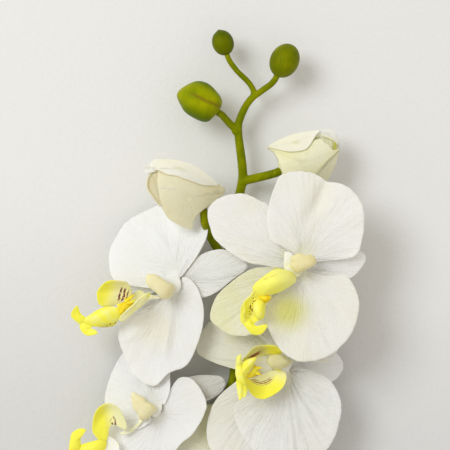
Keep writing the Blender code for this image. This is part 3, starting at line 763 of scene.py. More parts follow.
def pedicelSeat(name):
    # where a pedicel ends, and the way it points there
    if name in blooms:
        matrix = flowerFrame(blooms[name])
        heading = matrix.to_3x3() @ Vector((0, 0, 1))
        return Vector(blooms[name]["hub"]) - heading * pedicelEnd["underHub"], heading
    if name in budSeats:
        place, heading = budSeats[name]
        return Vector(place), Vector(heading).normalized()
    bud = greenBuds.get(name, largeSeat)
    heading = Vector(bud["towards"]).normalized()
    return Vector(bud["centre"]) - heading * (bud["length"] / 2 - pedicelEnd["inBud"]), heading


def scaleLeaf(name, root, side, look):
    # the small scale at the root of a pedicel
    along = Vector((*side, look["rise"])).normalized()
    start = Vector(root) - along * look["back"]
    return curveBar(name + "Scale", [start + along * reach for reach in look["reach"]], look["radii"])


def makeStem(look):
    line = curvePath(look["line"][:-1], curveSteps["bar"]) + [Vector(look["line"][-1])]
    thin = look["taperPoints"]
    radii = taper(look["tipRadius"], look["radius"], thin) + [look["radius"]] * (len(line) - thin)
    radii = [radius + look["grow"] for radius in radii]
    bars = [curveBar("stemBar", line, radii)]
    for name, (points, first, last, leafSide) in pedicels.items():
        seat, heading = pedicelSeat(name)
        path = [*points, seat - heading * look["straightEnd"] * last]
        path = [*curvePath(path, curveSteps["bar"]), seat]
        radii = taper(first + look["grow"], last + look["grow"], len(path))
        bars.append(curveBar(name + "Bar", path, radii))
        if leafSide:
            bars.append(scaleLeaf(name, points[0], leafSide, look["scale"]))
    stem = joinAll("moldedStem", bars)
    modify(stem, "REMESH", mode="VOXEL", voxel_size=look["voxel"], adaptivity=0.0)
    modify(stem, "SMOOTH", factor=0.5, iterations=3)
    finishPiece(paint(stem, stemFinish), "stem_green", "stem", angle=80)


makeStem(stemLook)
print("stem made")


# Green buds

largeBud = {
    "peak": (-11.5, 60.5, 26.0), "depth": 8.6, "dome": 2.2, "axis": (-18.5, 64.0, -4.0, 58.0), "rim": [
        (-23.5, 63.5, 17), (-20.5, 67, 17), (-14, 70, 17), (-8.5, 69, 17), (-4.5, 65.5, 17),
        (-1.5, 61, 17), (-2, 57, 17), (-5.5, 52.5, 17), (-10, 50, 17), (-18.5, 54, 17), (-22, 59, 17)]}


def makeGreenBud(name, bud):
    # a long ball, with a small nub at its tip where it has one
    bpy.ops.mesh.primitive_uv_sphere_add(segments=48, ring_count=32, radius=1.0)
    body = bpy.context.object
    body.name = name + "Body"
    axis = Vector(bud["towards"]).normalized()
    up = (Vector((0, 0, 1)) - axis * axis.z).normalized()
    side = axis.cross(up)
    for vertex in body.data.vertices:
        height = vertex.co.z
        across = Vector((vertex.co.x, vertex.co.y))
        turn = Vector((1, 0)).angle_signed(across) if across.length > 1e-6 else 0.0
        radius = bud["width"] / 2 * across.length
        reach = height * bud["length"] / 2 + bud["nub"] * max(0.0, height) ** nubPower
        vertex.co = Vector(bud["centre"]) + axis * reach + (up * cos(turn) + side * sin(turn)) * radius
    body.data.materials.append(budFinishes[name])
    finishPiece(smoother(weld(body)), "bud_green", name, angle=80)


# Domed sheets and lumps

shellGrid = (48, 12)
shellWeld = 0.005
shellShared = {"dome": 2.0, "round": False, "lift": 0.0, "curlUp": 0.0, "curlPower": 8, "crumple": 0.0,
               "crumpleOften": 0.25, "crumpleStep": 4.0}


def shellPlace(look, point, turn, share):
    # across and along for the material: on an axis, or round an arc, or round the shell
    if "axis" in look:
        x0, y0, x1, y1 = look["axis"]
        start, way = Vector((x0, y0)), Vector((x1 - x0, y1 - y0))
        offset = Vector(point[:2]) - start
        across = 2 * (way.x * offset.y - way.y * offset.x) / way.length_squared
        return across, offset.dot(way) / way.length_squared
    if "arc" in look:
        x, y, radius, first, last = look["arc"]
        offset = Vector((point[0] - x, point[1] - y))
        angle = degrees(atan2(offset.y, offset.x)) % 360
        return (offset.length - radius) / radius, (angle - first) / (last - first)
    return 2 * turn - 1, share


def makeShell(name, look, material, which=0, height=None):
    # spokes run from the peak to a smooth closed rim; the height may follow a shared form instead
    look = {**shellShared, **look}
    spokes, rings = shellGrid
    rim = evenPath(curvePath(look["rim"], curveSteps["rim"], closed=True), spokes + 1)
    peak = Vector(look["peak"])
    dome = look["dome"]

    def place(across, along):
        turn = (across + 1) / 2
        share = sin(along * pi / 2) if look["round"] else along
        edge = rim[round(turn * spokes) % spokes]
        point = peak.lerp(edge, share)
        point.z = edge.z + (peak.z - edge.z) * (1 - share ** dome) ** (1 / dome if look["round"] else 1)
        if height:
            point.z = height(point) + look["lift"] + look["curlUp"] * share ** look["curlPower"]
        often = look["crumpleOften"]
        wave = noise.noise(Vector((point.x * often, point.y * often, which * look["crumpleStep"] + peak.x)))
        point.z += look["crumple"] * wave * share
        return point, (*shellPlace(look, point, turn, share), which)

    sheet = makeSheet(spokes, rings, place, material)
    sheet.name = name
    return sheet


def makeDomed(name, look, material, thick, which=0, height=None):
    sheet = weld(makeShell(name, look, material, which, height), shellWeld)
    modify(sheet, "SOLIDIFY", thickness=thick, offset=0.0)
    return smoother(sheet)


def makeLump(name, look, material):
    # a rounded top and an underside that share one rim; the depth is from the rim's lowest point
    look = {**look, "round": True}
    bottom = (*look["peak"][:2], min(point[2] for point in look["rim"]) - look["depth"])
    top = makeShell(name, look, material)
    under = makeShell(name + "Under", {**look, "peak": bottom}, material)
    return smoother(weld(joinAll(name, [top, under]), shellWeld))


# Half-open buds

# flaps are the outer whorl and inner the petals in it; a seam has a line, a radius, a lift and a finish
creamBuds = {
    "left_cream_bud": {
        "centre": (-20, 16), "base": (-7.6, 7.0, 25.5), "towards": (-0.87, 0.49), "rise": 0.30,
        "up": 7.0, "down": 7.5, "axes": (21.0, 17.5), "core": "creamInside",
        "outline": [
            (0.5, 16.5), (-3, 19), (-8.5, 24.5), (-14, 28), (-23, 31), (-31.5, 31.5), (-34, 30),
            (-36, 25.5), (-37.5, 21.5), (-37.5, 17.5), (-35.5, 14.5), (-30, 7.5), (-28, 4), (-24, 1),
            (-16, -2.5), (-15.5, 1), (-12.5, 5.5), (-1.5, 14)],
        "flaps": {
            "under": {"finish": "creamLit", "peak": (-19.0, 15.0, 0), "side": -1, "lift": -0.7},
            "lower": {"finish": "creamShaded", "peak": (-18.0, 13.0, 0), "lift": 0.1, "crumple": 0.15, "rim": [
                (0.5, 16.5), (-2.5, 19.5), (-6.5, 21), (-11, 23.5), (-17.5, 25.5), (-24.5, 27),
                (-31.5, 26.5), (-32, 23.5), (-32, 18.5), (-30.5, 10.5), (-28, 4), (-24, 1), (-16, -2.5),
                (-15.5, 1), (-12.5, 5.5), (-1.5, 14)]},
            "upper": {
                "finish": "creamLit", "peak": (-22.0, 27.0, 0), "lift": 1.0, "curlUp": 0.3, "crumple": 0.15,
                "rim": [
                    (-34, 26.5), (-35.5, 29), (-34, 31), (-28, 31.5), (-23, 31), (-14, 28), (-8.5, 24.5),
                    (-3, 19), (-6.5, 19), (-10, 19), (-17.5, 21.5), (-23, 23.5), (-27, 24), (-31.5, 26)]}},
        "inner": {
            "fold": {"finish": "creamInside", "peak": (-33.0, 19.5, 0), "lift": -1.2, "crumple": 0.4, "rim": [
                (-35.5, 25), (-32.5, 26), (-29, 25), (-28, 18), (-28.5, 11), (-31.5, 10), (-34.5, 14.5),
                (-36.5, 18)]},
            "knob": {"finish": "creamPale", "peak": (-36.2, 27.2, 0), "lift": 0.2, "rim": [
                (-39, 27), (-38, 28.5), (-35.5, 29.5), (-33.5, 28.5), (-32.5, 26), (-35, 25), (-38, 25)]}},
        # the gold seams are edge tint and painted shadow under a flap's edge; the cream seam is a painted
        # highlight along a crease
        "seams": [
            ([(-33.5, 26), (-30, 25), (-27, 24), (-23, 23.5), (-20.5, 22.5), (-17.5, 21.5), (-13.5, 20),
              (-10, 19), (-6.5, 19), (-3.5, 19)], 0.35, 0.75, "goldEdgeAndShadow"),
            ([(-32, 17.5), (-29, 18), (-26, 17), (-23.5, 17)], 0.35, 0.3, "creamLit"),
            ([(-33.5, 26), (-35.5, 24.5), (-37, 21.5), (-37, 18), (-35.5, 15), (-33, 11.5), (-31, 8.5)],
             0.4, 0.2, "goldEdgeAndShadow")],
    },
    "right_cream_bud": {
        "centre": (39, 32), "base": (26.4, 26.0, 16.6), "towards": (0.90, 0.44), "rise": 0.06,
        "up": 7.5, "down": 8.4, "axes": (21.0, 15.5), "core": "creamYellow",
        "outline": [
            (20, 37.5), (23.5, 40), (27.5, 42), (32.5, 44), (38, 45), (42.5, 45.5), (47.5, 46.5),
            (53, 45.5), (55.5, 40.5), (55.5, 37), (53, 28), (49.5, 21.5), (45.5, 19.5), (39.5, 18.5),
            (33, 19.5), (29, 22.5), (26, 31), (23.5, 35.5)],
        "flaps": {
            "under": {"finish": "creamPale", "peak": (39.0, 32.0, 0), "side": -1, "lift": -1.4},
            "side": {"finish": "creamSide", "peak": (50.0, 29.5, 0), "lift": -0.7, "crumple": 0.15, "rim": [
                (55.5, 37.5), (54.5, 32.5), (53, 28), (49.5, 21.5), (46.5, 20), (43.5, 20), (43.5, 25),
                (49, 32.5)]},
            "lower": {"finish": "creamYellow", "peak": (38.0, 30.0, 0), "lift": 0.1, "crumple": 0.15, "rim": [
                (20, 37.5), (23.5, 38.5), (27.5, 38.5), (34, 38.5), (39.5, 39), (45.5, 42), (47.5, 40.5),
                (50.5, 38.5), (52.5, 36), (55.5, 37.5), (55, 36), (49.5, 31.5), (44, 25), (42.5, 20),
                (37, 18.5), (33, 19.5), (29, 22.5), (26, 31), (23.5, 35.5)]},
            "upper": {
                "finish": "creamLit", "peak": (34.5, 40.0, 0), "lift": 1.0, "curlUp": 0.4, "crumple": 0.15,
                "rim": [
                    (20, 37.5), (23.5, 40), (27.5, 42), (32.5, 44), (38, 45), (46, 46), (44, 43.5),
                    (40.5, 38), (37.5, 36), (30.5, 35.5), (22, 37.5)]}},
        "inner": {
            "back": {"finish": "creamPale", "peak": (49.8, 44.2, 0), "lift": -0.8, "crumple": 0.4, "rim": [
                (42.5, 43.5), (43.5, 45.5), (50.5, 46.5), (53, 45.5), (55, 40.5), (54.5, 39), (51.5, 41.5),
                (47, 42.5)]},
            "fold": {"finish": "creamYellow", "peak": (50.4, 40.0, 0), "lift": -1.6, "crumple": 0.8, "rim": [
                (45.5, 42), (47.5, 43), (53.5, 42), (55, 39.5), (54.5, 37.5), (53, 36), (48.5, 40)]},
            "tip": {"finish": "tipGreen", "peak": (53.0, 38.2, 0), "lift": -0.4, "rim": [
                (52.5, 39.5), (53.5, 40), (54, 38.5), (53.5, 36.5), (52.5, 37)]}},
        # the lime seams are edge tint and painted shadow under a flap's edge
        "seams": [
            ([(20.5, 37.5), (26, 36.5), (30.5, 35.5), (34.5, 35.5), (37.5, 36), (40.5, 38), (42, 40.5),
              (44, 43)], 0.32, 0.75, "limeEdgeAndShadow"),
            ([(44.5, 42.5), (46, 43.5), (49, 42.5), (52.5, 41), (54.5, 39)], 0.35, 0.1, "limeEdgeAndShadow"),
            ([(55, 36.5), (52.5, 34), (49.5, 31.5), (47, 28.5), (44.5, 25)], 0.28, 0.3, "limeEdgeAndShadow")],
    },
}
budSoftness = 1.2
coreLook = {"plan": 0.66, "height": 0.6}
seamForm = {"steps": 40, "end": 0.35, "middle": 0.65, "roundness": 1}


def makeCore(name, bud, surface):
    # the furled petals inside a bud
    bpy.ops.mesh.primitive_uv_sphere_add(segments=48, ring_count=24, radius=1.0)
    core = bpy.context.object
    core.name = name
    core.data.attributes.new("bladePlace", "FLOAT_VECTOR", "POINT")
    centre, way = Vector(bud["centre"]), Vector(bud["towards"]).normalized()
    long, wide = bud["axes"]
    for vertex in core.data.vertices:
        x, y, z = vertex.co
        flat = centre + (way * x * long + Vector((-way.y, way.x)) * y * wide) * coreLook["plan"]
        rise = z * (bud["up"] if z > 0 else bud["down"]) * coreLook["height"]
        vertex.co = (*flat, surface(flat, 0) + rise)
    core.data.materials.append(clothFinishes[bud["core"]])
    return core


def makeSeam(name, seam, surface):
    # a thin raised edge on the bud, thickest in its middle; its colour is the flap's edge tint with a painted
    # shadow line, or a painted highlight along a crease
    points, radius, lift, finish = seam
    last = seamForm["steps"] - 1
    path = evenPath(curvePath([(*point, 0) for point in points], curveSteps["line"]), last + 1)
    for point in path:
        point.z = surface(point, 1) + lift
    swell = [seamForm["end"] + seamForm["middle"] * sin(pi * step / last) for step in range(last + 1)]
    radii = [radius * share for share in swell]
    bar = curveBar(name + "Seam", path, radii, resolution=seamForm["roundness"])
    return paint(bar, clothFinishes[finish])


def makeCreamBud(name, bud):
    centre, way = Vector(bud["centre"]), Vector(bud["towards"]).normalized()
    long, wide = bud["axes"]

    def middle(point):
        return bud["base"][2] + bud["rise"] * (Vector(point[:2]) - Vector(bud["base"][:2])).dot(way)

    def surface(point, side):
        # the upper or lower side of the bud, which runs out softly at its rim, or its middle
        offset = Vector(point[:2]) - centre
        share = Vector((offset.dot(way) / long, (way.x * offset.y - way.y * offset.x) / wide)).length
        height = max(0.0, 1 - share ** 2) ** budSoftness
        return middle(point) + {1: bud["up"], 0: 0.0, -1: -bud["down"]}[side] * height

    def flat(points):
        return [(*point, middle(point)) for point in points]

    for piece, group, node in (("Outer", "flaps", "_sepals"), ("Inner", "inner", "_petals")):
        parts = []
        for index, (flapName, flap) in enumerate(bud[group].items()):
            side = flap.get("side", 1)
            look = {**flap, "rim": flat(flap.get("rim", bud["outline"]))}
            parts.append(makeDomed(name + flapName.title(), look, clothFinishes[flap["finish"]],
                                   thickness["cloth"], index, lambda point: surface(point, side)))
        if piece == "Inner":
            parts.append(makeCore(name + "Core", bud, surface))
        else:
            parts += [makeSeam(name, seam, surface) for seam in bud["seams"]]
        finishPiece(joinAll(name + piece, parts), "cream_cloth", name + node)


for budName, budLook in creamBuds.items():
    makeCreamBud(budName, budLook)
print("half-open buds made")
for budName, budLook in greenBuds.items():
    makeGreenBud(budName, budLook)
finishPiece(makeLump("large_green_budBody", largeBud, budFinishes["large_green_bud"]),
            "bud_green", "large_green_bud", angle=80)
print("green buds made")


# Open blooms

# Of the lip tones, one lighter yellow is painted light where a lobe faces away from the lamp, and two darker
# yellows are painted shade.
lipTones = {
    "yellow": (0.99, 0.93, 0.08), "paintedLight": (1.0, 0.955, 0.15), "paintedStrawShade": (0.86, 0.82, 0.40),
    "lemon": (0.97, 0.94, 0.28), "pale": (0.94, 0.92, 0.52), "paintedShadeYellow": (0.72, 0.69, 0.24),
    "cream": (0.93, 0.92, 0.70), "white": (0.93, 0.92, 0.84), "callus": (0.95, 0.66, 0.0),
    "wine": (0.17, 0.02, 0.04), "rust": (0.30, 0.08, 0.03), "tan": (0.50, 0.30, 0.10)}
lipShared = {
    "by": "cloud", "over": (0.35, 0.75), "roughness": 0.45, "gloss": 0.3, "glow": 0.2, "glowReach": 0.002,
    "glowColour": (1.0, 0.85, 0.2), "cloudScale": 260.0, "wanderScale": 420.0, "wander": 0.4,
    "breakScale": 800.0, "spotOver": (0.54, 0.59), "grainScale": 900.0, "grainHeight": 0.4,
    "reliefDepth": 0.0003, "reliefStrength": 0.6}


def lipFinish(name, look):
    # one yellow runs into another, and some parts have red-brown lines or spots in a window
    look = {**lipShared, **look}
    lip = softFinish(name, look)
    across, along = lip.bladePlace()[:2]
    place = lip.coords()
    cloud = lip.cloud(place, look["cloudScale"])
    share = {"cloud": cloud, "across": across, "along": along}[look["by"]].between(*look["over"])
    if "paleEnd" in look:
        share = share * (1.0 - along.between(*look["paleEnd"]))
    tone = lip.tint(share, lipTones[look["first"]], lipTones[look["second"]])
    if "marks" in look:
        marks = look["marks"]
        wander = lip.cloud(place, look["wanderScale"], detail=2.0)
        reach = along + (wander - 0.5) * look["wander"]
        window = along.between(*marks["from"]) * (1.0 - reach.between(*marks["to"]))
        window = window * (1.0 - abs(across).between(*marks["width"]))
        if marks["kind"] == "lines":
            drawn = (across * marks["count"] + wander * marks["waver"]).wave().between(*marks["edge"])
            breaks = lip.cloud(place, look["breakScale"], detail=1.0)
            drawn = drawn * breaks.between(*marks["broken"])
        else:
            drawn = lip.cloud(place, marks["count"], detail=1.0).between(*look["spotOver"])
        tone = lip.tint(drawn * window * marks["strength"], tone, lipTones[marks["tone"]])
    lip.colour(tone)
    grain = lip.cloud(place, look["grainScale"], detail=2.0)
    lip.relief(cloud + grain * look["grainHeight"], look["reliefDepth"], look["reliefStrength"])
    return lip.material


def lines(count, start, end, width, **changes):
    return {"kind": "lines", "count": count, "from": start, "to": end, "width": width, "tone": "wine",
            "strength": 0.95, "waver": 3.0, "edge": (-0.3, 0.1), "broken": (0.30, 0.42), **changes}


def spots(count, start, end, width, **changes):
    return {**lines(count, start, end, width, **changes), "kind": "spots"}


lipLooks = {
    "lemon": {"first": "yellow", "second": "lemon"},
    "deepLemon": {"first": "yellow", "second": "yellow"},
    "cream": {"first": "cream", "second": "pale"},
    "palePiece": {"first": "pale", "second": "lemon"},
    "white": {"first": "white", "second": "cream"},
    "orange": {"first": "callus", "second": "yellow"},
    "nearA": {"first": "paintedLight", "second": "lemon", "by": "along", "over": (0.2, 1.9),
              "marks": lines(22.0, (0.0, 0.12), (0.9, 1.1), (0.2, 0.34), tone="tan", strength=0.55, waver=7.0,
                             edge=(0.1, 0.6), broken=(0.42, 0.58))},
    "middleA": {"first": "yellow", "second": "lemon",
                "marks": spots(1300.0, (-0.05, 0.05), (0.5, 1.1), (0.14, 0.24))},
    "farB": {"first": "paintedStrawShade", "second": "yellow", "by": "across", "over": (0.5, 1.9),
             "marks": lines(17.0, (0.0, 0.06), (0.62, 0.85), (0.40, 0.5), waver=5.0)},
    "insideA": {"first": "paintedShadeYellow", "second": "lemon"},
    "upperC": {"first": "paintedShadeYellow", "second": "yellow", "by": "along", "over": (0.7, 1.15),
               "marks": lines(9.0, (-0.3, 0.0), (0.45, 0.7), (0.12, 0.24), tone="rust")},
    "lowerC": {"first": "pale", "second": "yellow", "by": "across", "over": (-0.25, 0.35),
               "paleEnd": (0.85, 1.3),
               "marks": lines(38.0, (-0.1, 0.0), (0.85, 1.05), (0.13, 0.2), tone="rust", waver=2.0)},
    "sideD": {"first": "pale", "second": "yellow", "by": "across", "over": (-0.5, 1.6),
              "marks": lines(13.0, (-0.1, 0.1), (0.55, 0.8), (0.3, 0.5), waver=7.0, edge=(-0.5, 0.0),
                             broken=(0.38, 0.5))},
    "bulgeB": {"first": "yellow", "second": "lemon",
               "marks": spots(1500.0, (-0.1, 0.1), (0.9, 1.2), (0.3, 0.6))},
}
lipFinishes = {name: lipFinish("lip" + name.title(), look) for name, look in lipLooks.items()}

# domed sheets and lumps, each with a finish, a peak and a rim, placed from its bloom's hub;
# the axis or arc says where its marks run
lips = {
    "bloom_a": {
        "near": {"finish": "nearA", "axis": (-18.2, -7.2, -11.8, -4.1),
                 "peak": (-12.9, -8.1, 14), "rim": [
            (-23, -10.5, 9), (-17, -5, 11), (-11.5, -2, 10), (-4.5, -3.5, 7.5), (-2.5, -6, 6.5),
            (-3, -8.5, 6), (-9.5, -12.5, 6.5), (-14, -14, 7), (-20, -15, 7)]},
        "middle": {"finish": "middleA", "axis": (-22.0, -14.6, -25.0, -26.0),
                   "peak": (-22.5, -20.7, 7), "rim": [
            (-22, -12, 9), (-24.5, -15, 10), (-27, -17.5, 11), (-28, -20.5, 11), (-27.5, -28, 9.5),
            (-25, -29, 9), (-19.5, -26, 8), (-17.5, -24, 7), (-17, -20.5, 7), (-16.5, -17.5, 6.5),
            (-18, -15, 6.5)]},
        "ball": {"finish": "lemon", "peak": (-19.8, -21.2, 13), "rim": [
            (-22, -17.5, 8.5), (-20.5, -16.5, 8.5), (-18, -17, 8), (-17, -19.5, 7.5), (-17, -23, 7.5),
            (-18, -25.5, 7.5), (-20.5, -26, 8), (-22, -24, 8.5), (-23, -20.5, 8.5)]},
        "horn": {"finish": "deepLemon", "peak": (-23, -30.2, 11), "rim": [
            (-27.5, -27, 9.5), (-24, -32, 9.5), (-21, -33, 10), (-18, -32, 11), (-16, -28, 13),
            (-20.5, -29, 10.5), (-22.5, -28, 9.5), (-25, -25.5, 9)]},
        "horn2": {"finish": "lemon", "peak": (-27.4, -24.5, 10.6), "rim": [
            (-27.5, -28, 9), (-28.5, -26, 9), (-28.5, -20, 12.5), (-27, -18, 14.5), (-26.5, -20, 13.5),
            (-27, -23, 11.5), (-26.5, -25.5, 10), (-25, -27, 9)]},
        "callus": {"finish": "orange", "peak": (-16.8, -16, 9.5), "rim": [
            (-20, -15, 7), (-17, -14.5, 7), (-14, -15, 6.5), (-14.5, -16.5, 6), (-16, -18, 6),
            (-17.5, -17.5, 6.5), (-19, -16.5, 7)]},
        "claw": {"finish": "cream", "peak": (-3.9, -2.9, 5), "rim": [
            (-4.5, 0.5, 3.5), (-8.5, -3, 5), (-7, -5.5, 6), (-4, -6.5, 6), (-1, -5.5, 5), (0.5, -3.5, 3.5),
            (0.5, -1, 3)]},
        "plate": {"finish": "white", "peak": (-5.6, 1.6, 3.6), "rim": [
            (-7.5, 6, 3), (-4.5, 5.5, 3), (-3, 2, 3), (-3.5, -2, 3), (-6, -3.5, 3.5), (-8, -1.5, 4),
            (-8, 2.5, 3.5)]},
        "far": {"finish": "insideA", "peak": (-13.4, -6.6, 4), "rim": [
            (-21.5, -10, 7), (-19, -6.5, 8), (-15.5, -4, 9), (-12, -1.5, 9), (-8.5, -2, 7.5),
            (-5.5, -4, 5.5), (-7, -7, 4), (-17, -11.5, 4.5)]},
    },
    "bloom_b": {
        "far": {"finish": "farB", "axis": (-26.6, -8.2, -23.4, 1.2),
                "peak": (-29.8, -3.9, 6), "rim": [
            (-38, -6, 7.5), (-37.5, -2.5, 8.5), (-32.5, 2, 12.5), (-25, 2, 13.5), (-22.5, 0.5, 12),
            (-21, -4.5, 7.5), (-24, -6.5, 5.5), (-28, -8.5, 4.5), (-30, -10, 4), (-34, -10.5, 4.5),
            (-37, -9.5, 5.5)]},
        "near": {"finish": "palePiece", "peak": (-19.9, -10.9, 10.5), "rim": [
            (-12.5, -3.5, 6.5), (-13, -6, 5.5), (-15.5, -9, 5.5), (-21.5, -14, 5.5), (-25.5, -17.5, 5.5),
            (-27.5, -16.5, 6.5), (-23.5, -12, 12.5), (-20, -9, 12.5), (-17, -6, 10.5)]},
        "claw": {"finish": "cream", "peak": (-18.8, -6.6, 3.7), "rim": [
            (-21, -4.5, 4.5), (-17.5, -2.5, 4), (-15, -4, 3.5), (-9, -5.5, 2), (-7.5, -6.5, 2),
            (-12, -7, 3), (-15, -8, 4), (-22.5, -11.5, 5), (-24, -11, 5)]},
        "middle": {"finish": "lemon", "peak": (-34.5, -14.2, 7), "rim": [
            (-27.5, -11.5, 5.5), (-30.5, -10.5, 5.5), (-35.5, -11, 5.5), (-41.5, -14.5, 4), (-46, -18, 3),
            (-40.5, -20, 3.5), (-31.5, -19, 3.5), (-26, -14.5, 4.5)]},
        "bulge": {"finish": "bulgeB", "axis": (-29.0, -18.0, -37.0, -19.4),
                  "peak": (-33.2, -18.6, 4.5), "rim": [
            (-39.5, -19, 3), (-36, -17.5, 3.5), (-31.5, -16.5, 4), (-28.5, -16, 3.5), (-28.5, -18, 1.5),
            (-31, -20, 0), (-35.5, -20.5, 0), (-38.5, -20, 1.5)]},
        "hornUp": {"finish": "deepLemon", "peak": (-47.5, -15.3, 4.5), "rim": [
            (-43.5, -16, 3.5), (-46, -14, 4), (-47.5, -10, 6.5), (-50.5, -13.5, 5), (-50, -16, 4),
            (-46, -19, 3), (-43.5, -18, 3.5)]},
        "hornLow": {"finish": "deepLemon", "peak": (-43.3, -21.1, 4.5), "rim": [
            (-46, -18, 3), (-46.5, -20, 3), (-45.5, -22.5, 3.5), (-42.5, -24.5, 4.5), (-38, -23.5, 6.5),
            (-38.5, -22, 5.5), (-40.5, -21.5, 4.5), (-41, -20.5, 4), (-40, -19.5, 3.5), (-43, -18, 3.5)]},
        "callus": {"finish": "orange", "peak": (-24.8, -10.5, 9), "rim": [
            (-28.5, -9.5, 5), (-26.5, -8.5, 5.5), (-24, -7.5, 5.5), (-21.5, -8, 5.5), (-21, -10, 5),
            (-25.5, -14, 5), (-27, -13.5, 5)]},
    },
    "bloom_c": {
        "upper": {"finish": "upperC", "axis": (-16.6, 5.4, -8.6, 9.4),
                  "peak": (-10.8, 8, 11), "rim": [
            (-21, 3.5, 16), (-19, 6, 17), (-14.5, 10.5, 19), (-6.5, 11, 18), (-4, 10, 16), (-2, 8, 14),
            (-2, 7, 12), (-9, 6, 10), (-16, 4.5, 12), (-19, 3, 14)]},
        "lower": {"finish": "lowerC", "arc": (-11.4, -1.4, 6.3, 200, 330),
                  "peak": (-9.3, -7.3, 7.5), "rim": [
            (0.5, -4.5, 11), (0, -2.5, 10), (-2, -1.5, 9), (-4.5, -1, 9), (-9.5, -2.5, 9), (-14.5, -4, 10),
            (-19, -4.5, 12), (-19.5, -6.5, 13), (-16, -13, 12.5), (-10.5, -15, 12), (-3.5, -11.5, 12),
            (-0.5, -8, 12)]},
        "middle": {"finish": "lemon", "peak": (-21.2, -1.9, 20.5), "rim": [
            (-23.5, 4.5, 19), (-24, -2, 19), (-23.5, -4.5, 19), (-23, -7.5, 18), (-21.5, -9.5, 17.5),
            (-19.5, -9.5, 17.5), (-18.5, -8.5, 17), (-19.5, -5, 17), (-19, -3.5, 16.5), (-15, 3, 17),
            (-14, 5.5, 18), (-19, 4, 18), (-21, 2, 18.5), (-21.5, 4.5, 19)]},
        "hornLow": {"finish": "lemon", "peak": (-21.8, -8.8, 19.5), "rim": [
            (-23.5, -5.5, 18.5), (-23, -10.5, 18.5), (-22.5, -13, 19), (-22, -15, 20), (-21, -13.5, 19.5),
            (-20, -7.5, 18), (-21, -5, 18.5)]},
        "hornIn": {"finish": "lemon", "peak": (-19.7, -9.6, 18.8), "rim": [
            (-20.5, -7, 17.5), (-20.5, -11.5, 18), (-20.5, -13.5, 19), (-19.5, -13.5, 19),
            (-18.5, -10.5, 18), (-18.5, -8.5, 17), (-19, -6.5, 17)]},
        "hornUp": {"finish": "lemon", "peak": (-22.4, 3.5, 20.5), "rim": [
            (-23.5, 1.5, 19), (-23.5, 4.5, 19), (-23, 6, 20), (-21.5, 7, 21), (-21.5, 5, 20),
            (-21, 2.5, 19), (-21.5, 0.5, 19)]},
        "callus": {"finish": "orange", "peak": (-15.6, -1.5, 16), "rim": [
            (-15, 1.5, 12), (-16.5, -1, 12), (-19, -4, 13), (-17, -5, 12), (-15, -4, 11.5),
            (-13, -3, 11.5), (-13, -0.5, 11.5)]},
        "claw": {"finish": "white", "peak": (-10.3, -0.5, 6.5), "rim": [
            (-14.5, 5, 11), (-8, 5.5, 9), (-3.5, 3, 6), (-2.5, 0.5, 5), (-6, -1.5, 7), (-8.5, -2.5, 9),
            (-16.5, -5.5, 11), (-18.5, -4, 12), (-16.5, -0.5, 12)]},
    },
    "bloom_d": {
        "side": {"finish": "sideD", "axis": (-20.4, -8.0, -21.4, -1.0),
                 "peak": (-25.6, -3.3, 7), "rim": [
            (-27.5, -16.5, 5.5), (-28.5, -14, 6.5), (-31, -10.5, 7.5), (-31, -6.5, 8.5), (-30, -2, 10.5),
            (-28, 1.5, 12.5), (-24, 4, 13.5), (-20.5, 3.5, 13.5), (-17.5, 1, 12.5), (-14.5, -6.5, 8.5),
            (-15, -9.5, 6.5), (-19.5, -7, 6), (-22.5, -7.5, 6), (-23.5, -11.5, 5.5), (-24.5, -15, 5.5)]},
        "near": {"finish": "white", "peak": (-23.2, -17.8, 4.3), "rim": [
            (-28.5, -14.5, 5.5), (-25.5, -13, 5.5), (-22.5, -13, 5), (-19.5, -15, 5), (-18, -18.5, 5.5),
            (-19.5, -22.5, 5.5), (-23, -23, 5.5), (-27, -20, 5.5)]},
        "middle": {"finish": "deepLemon", "peak": (-31.9, -19.3, 7.5), "rim": [
            (-24.5, -14.5, 5.5), (-29, -14.5, 6), (-36, -16.5, 5.5), (-39.5, -18, 5), (-40.5, -22, 4.5),
            (-38, -24, 4.5), (-29, -22.5, 5), (-25.5, -19.5, 5)]},
        "hornUp": {"finish": "deepLemon", "peak": (-39.4, -14.7, 8), "rim": [
            (-42.5, -20.5, 5), (-41.5, -12.5, 6.5), (-40, -10, 7.5), (-37, -8.5, 8.5), (-34, -9, 9.5),
            (-35.5, -11.5, 8.5), (-37, -13.5, 7), (-37, -19.5, 5.5), (-40, -21.5, 5)]},
        "claw": {"finish": "cream", "peak": (-10.9, -8.6, 2.5), "rim": [
            (-16.5, -10.5, 3.5), (-14, -10.5, 3.5), (-11, -8.5, 3), (-6.5, -3, 2), (-3.5, -2, 2),
            (-6.5, -5, 2.5), (-10, -9, 2.5), (-13.5, -11.5, 3), (-17, -12, 4), (-18, -11.5, 4)]},
    },
}

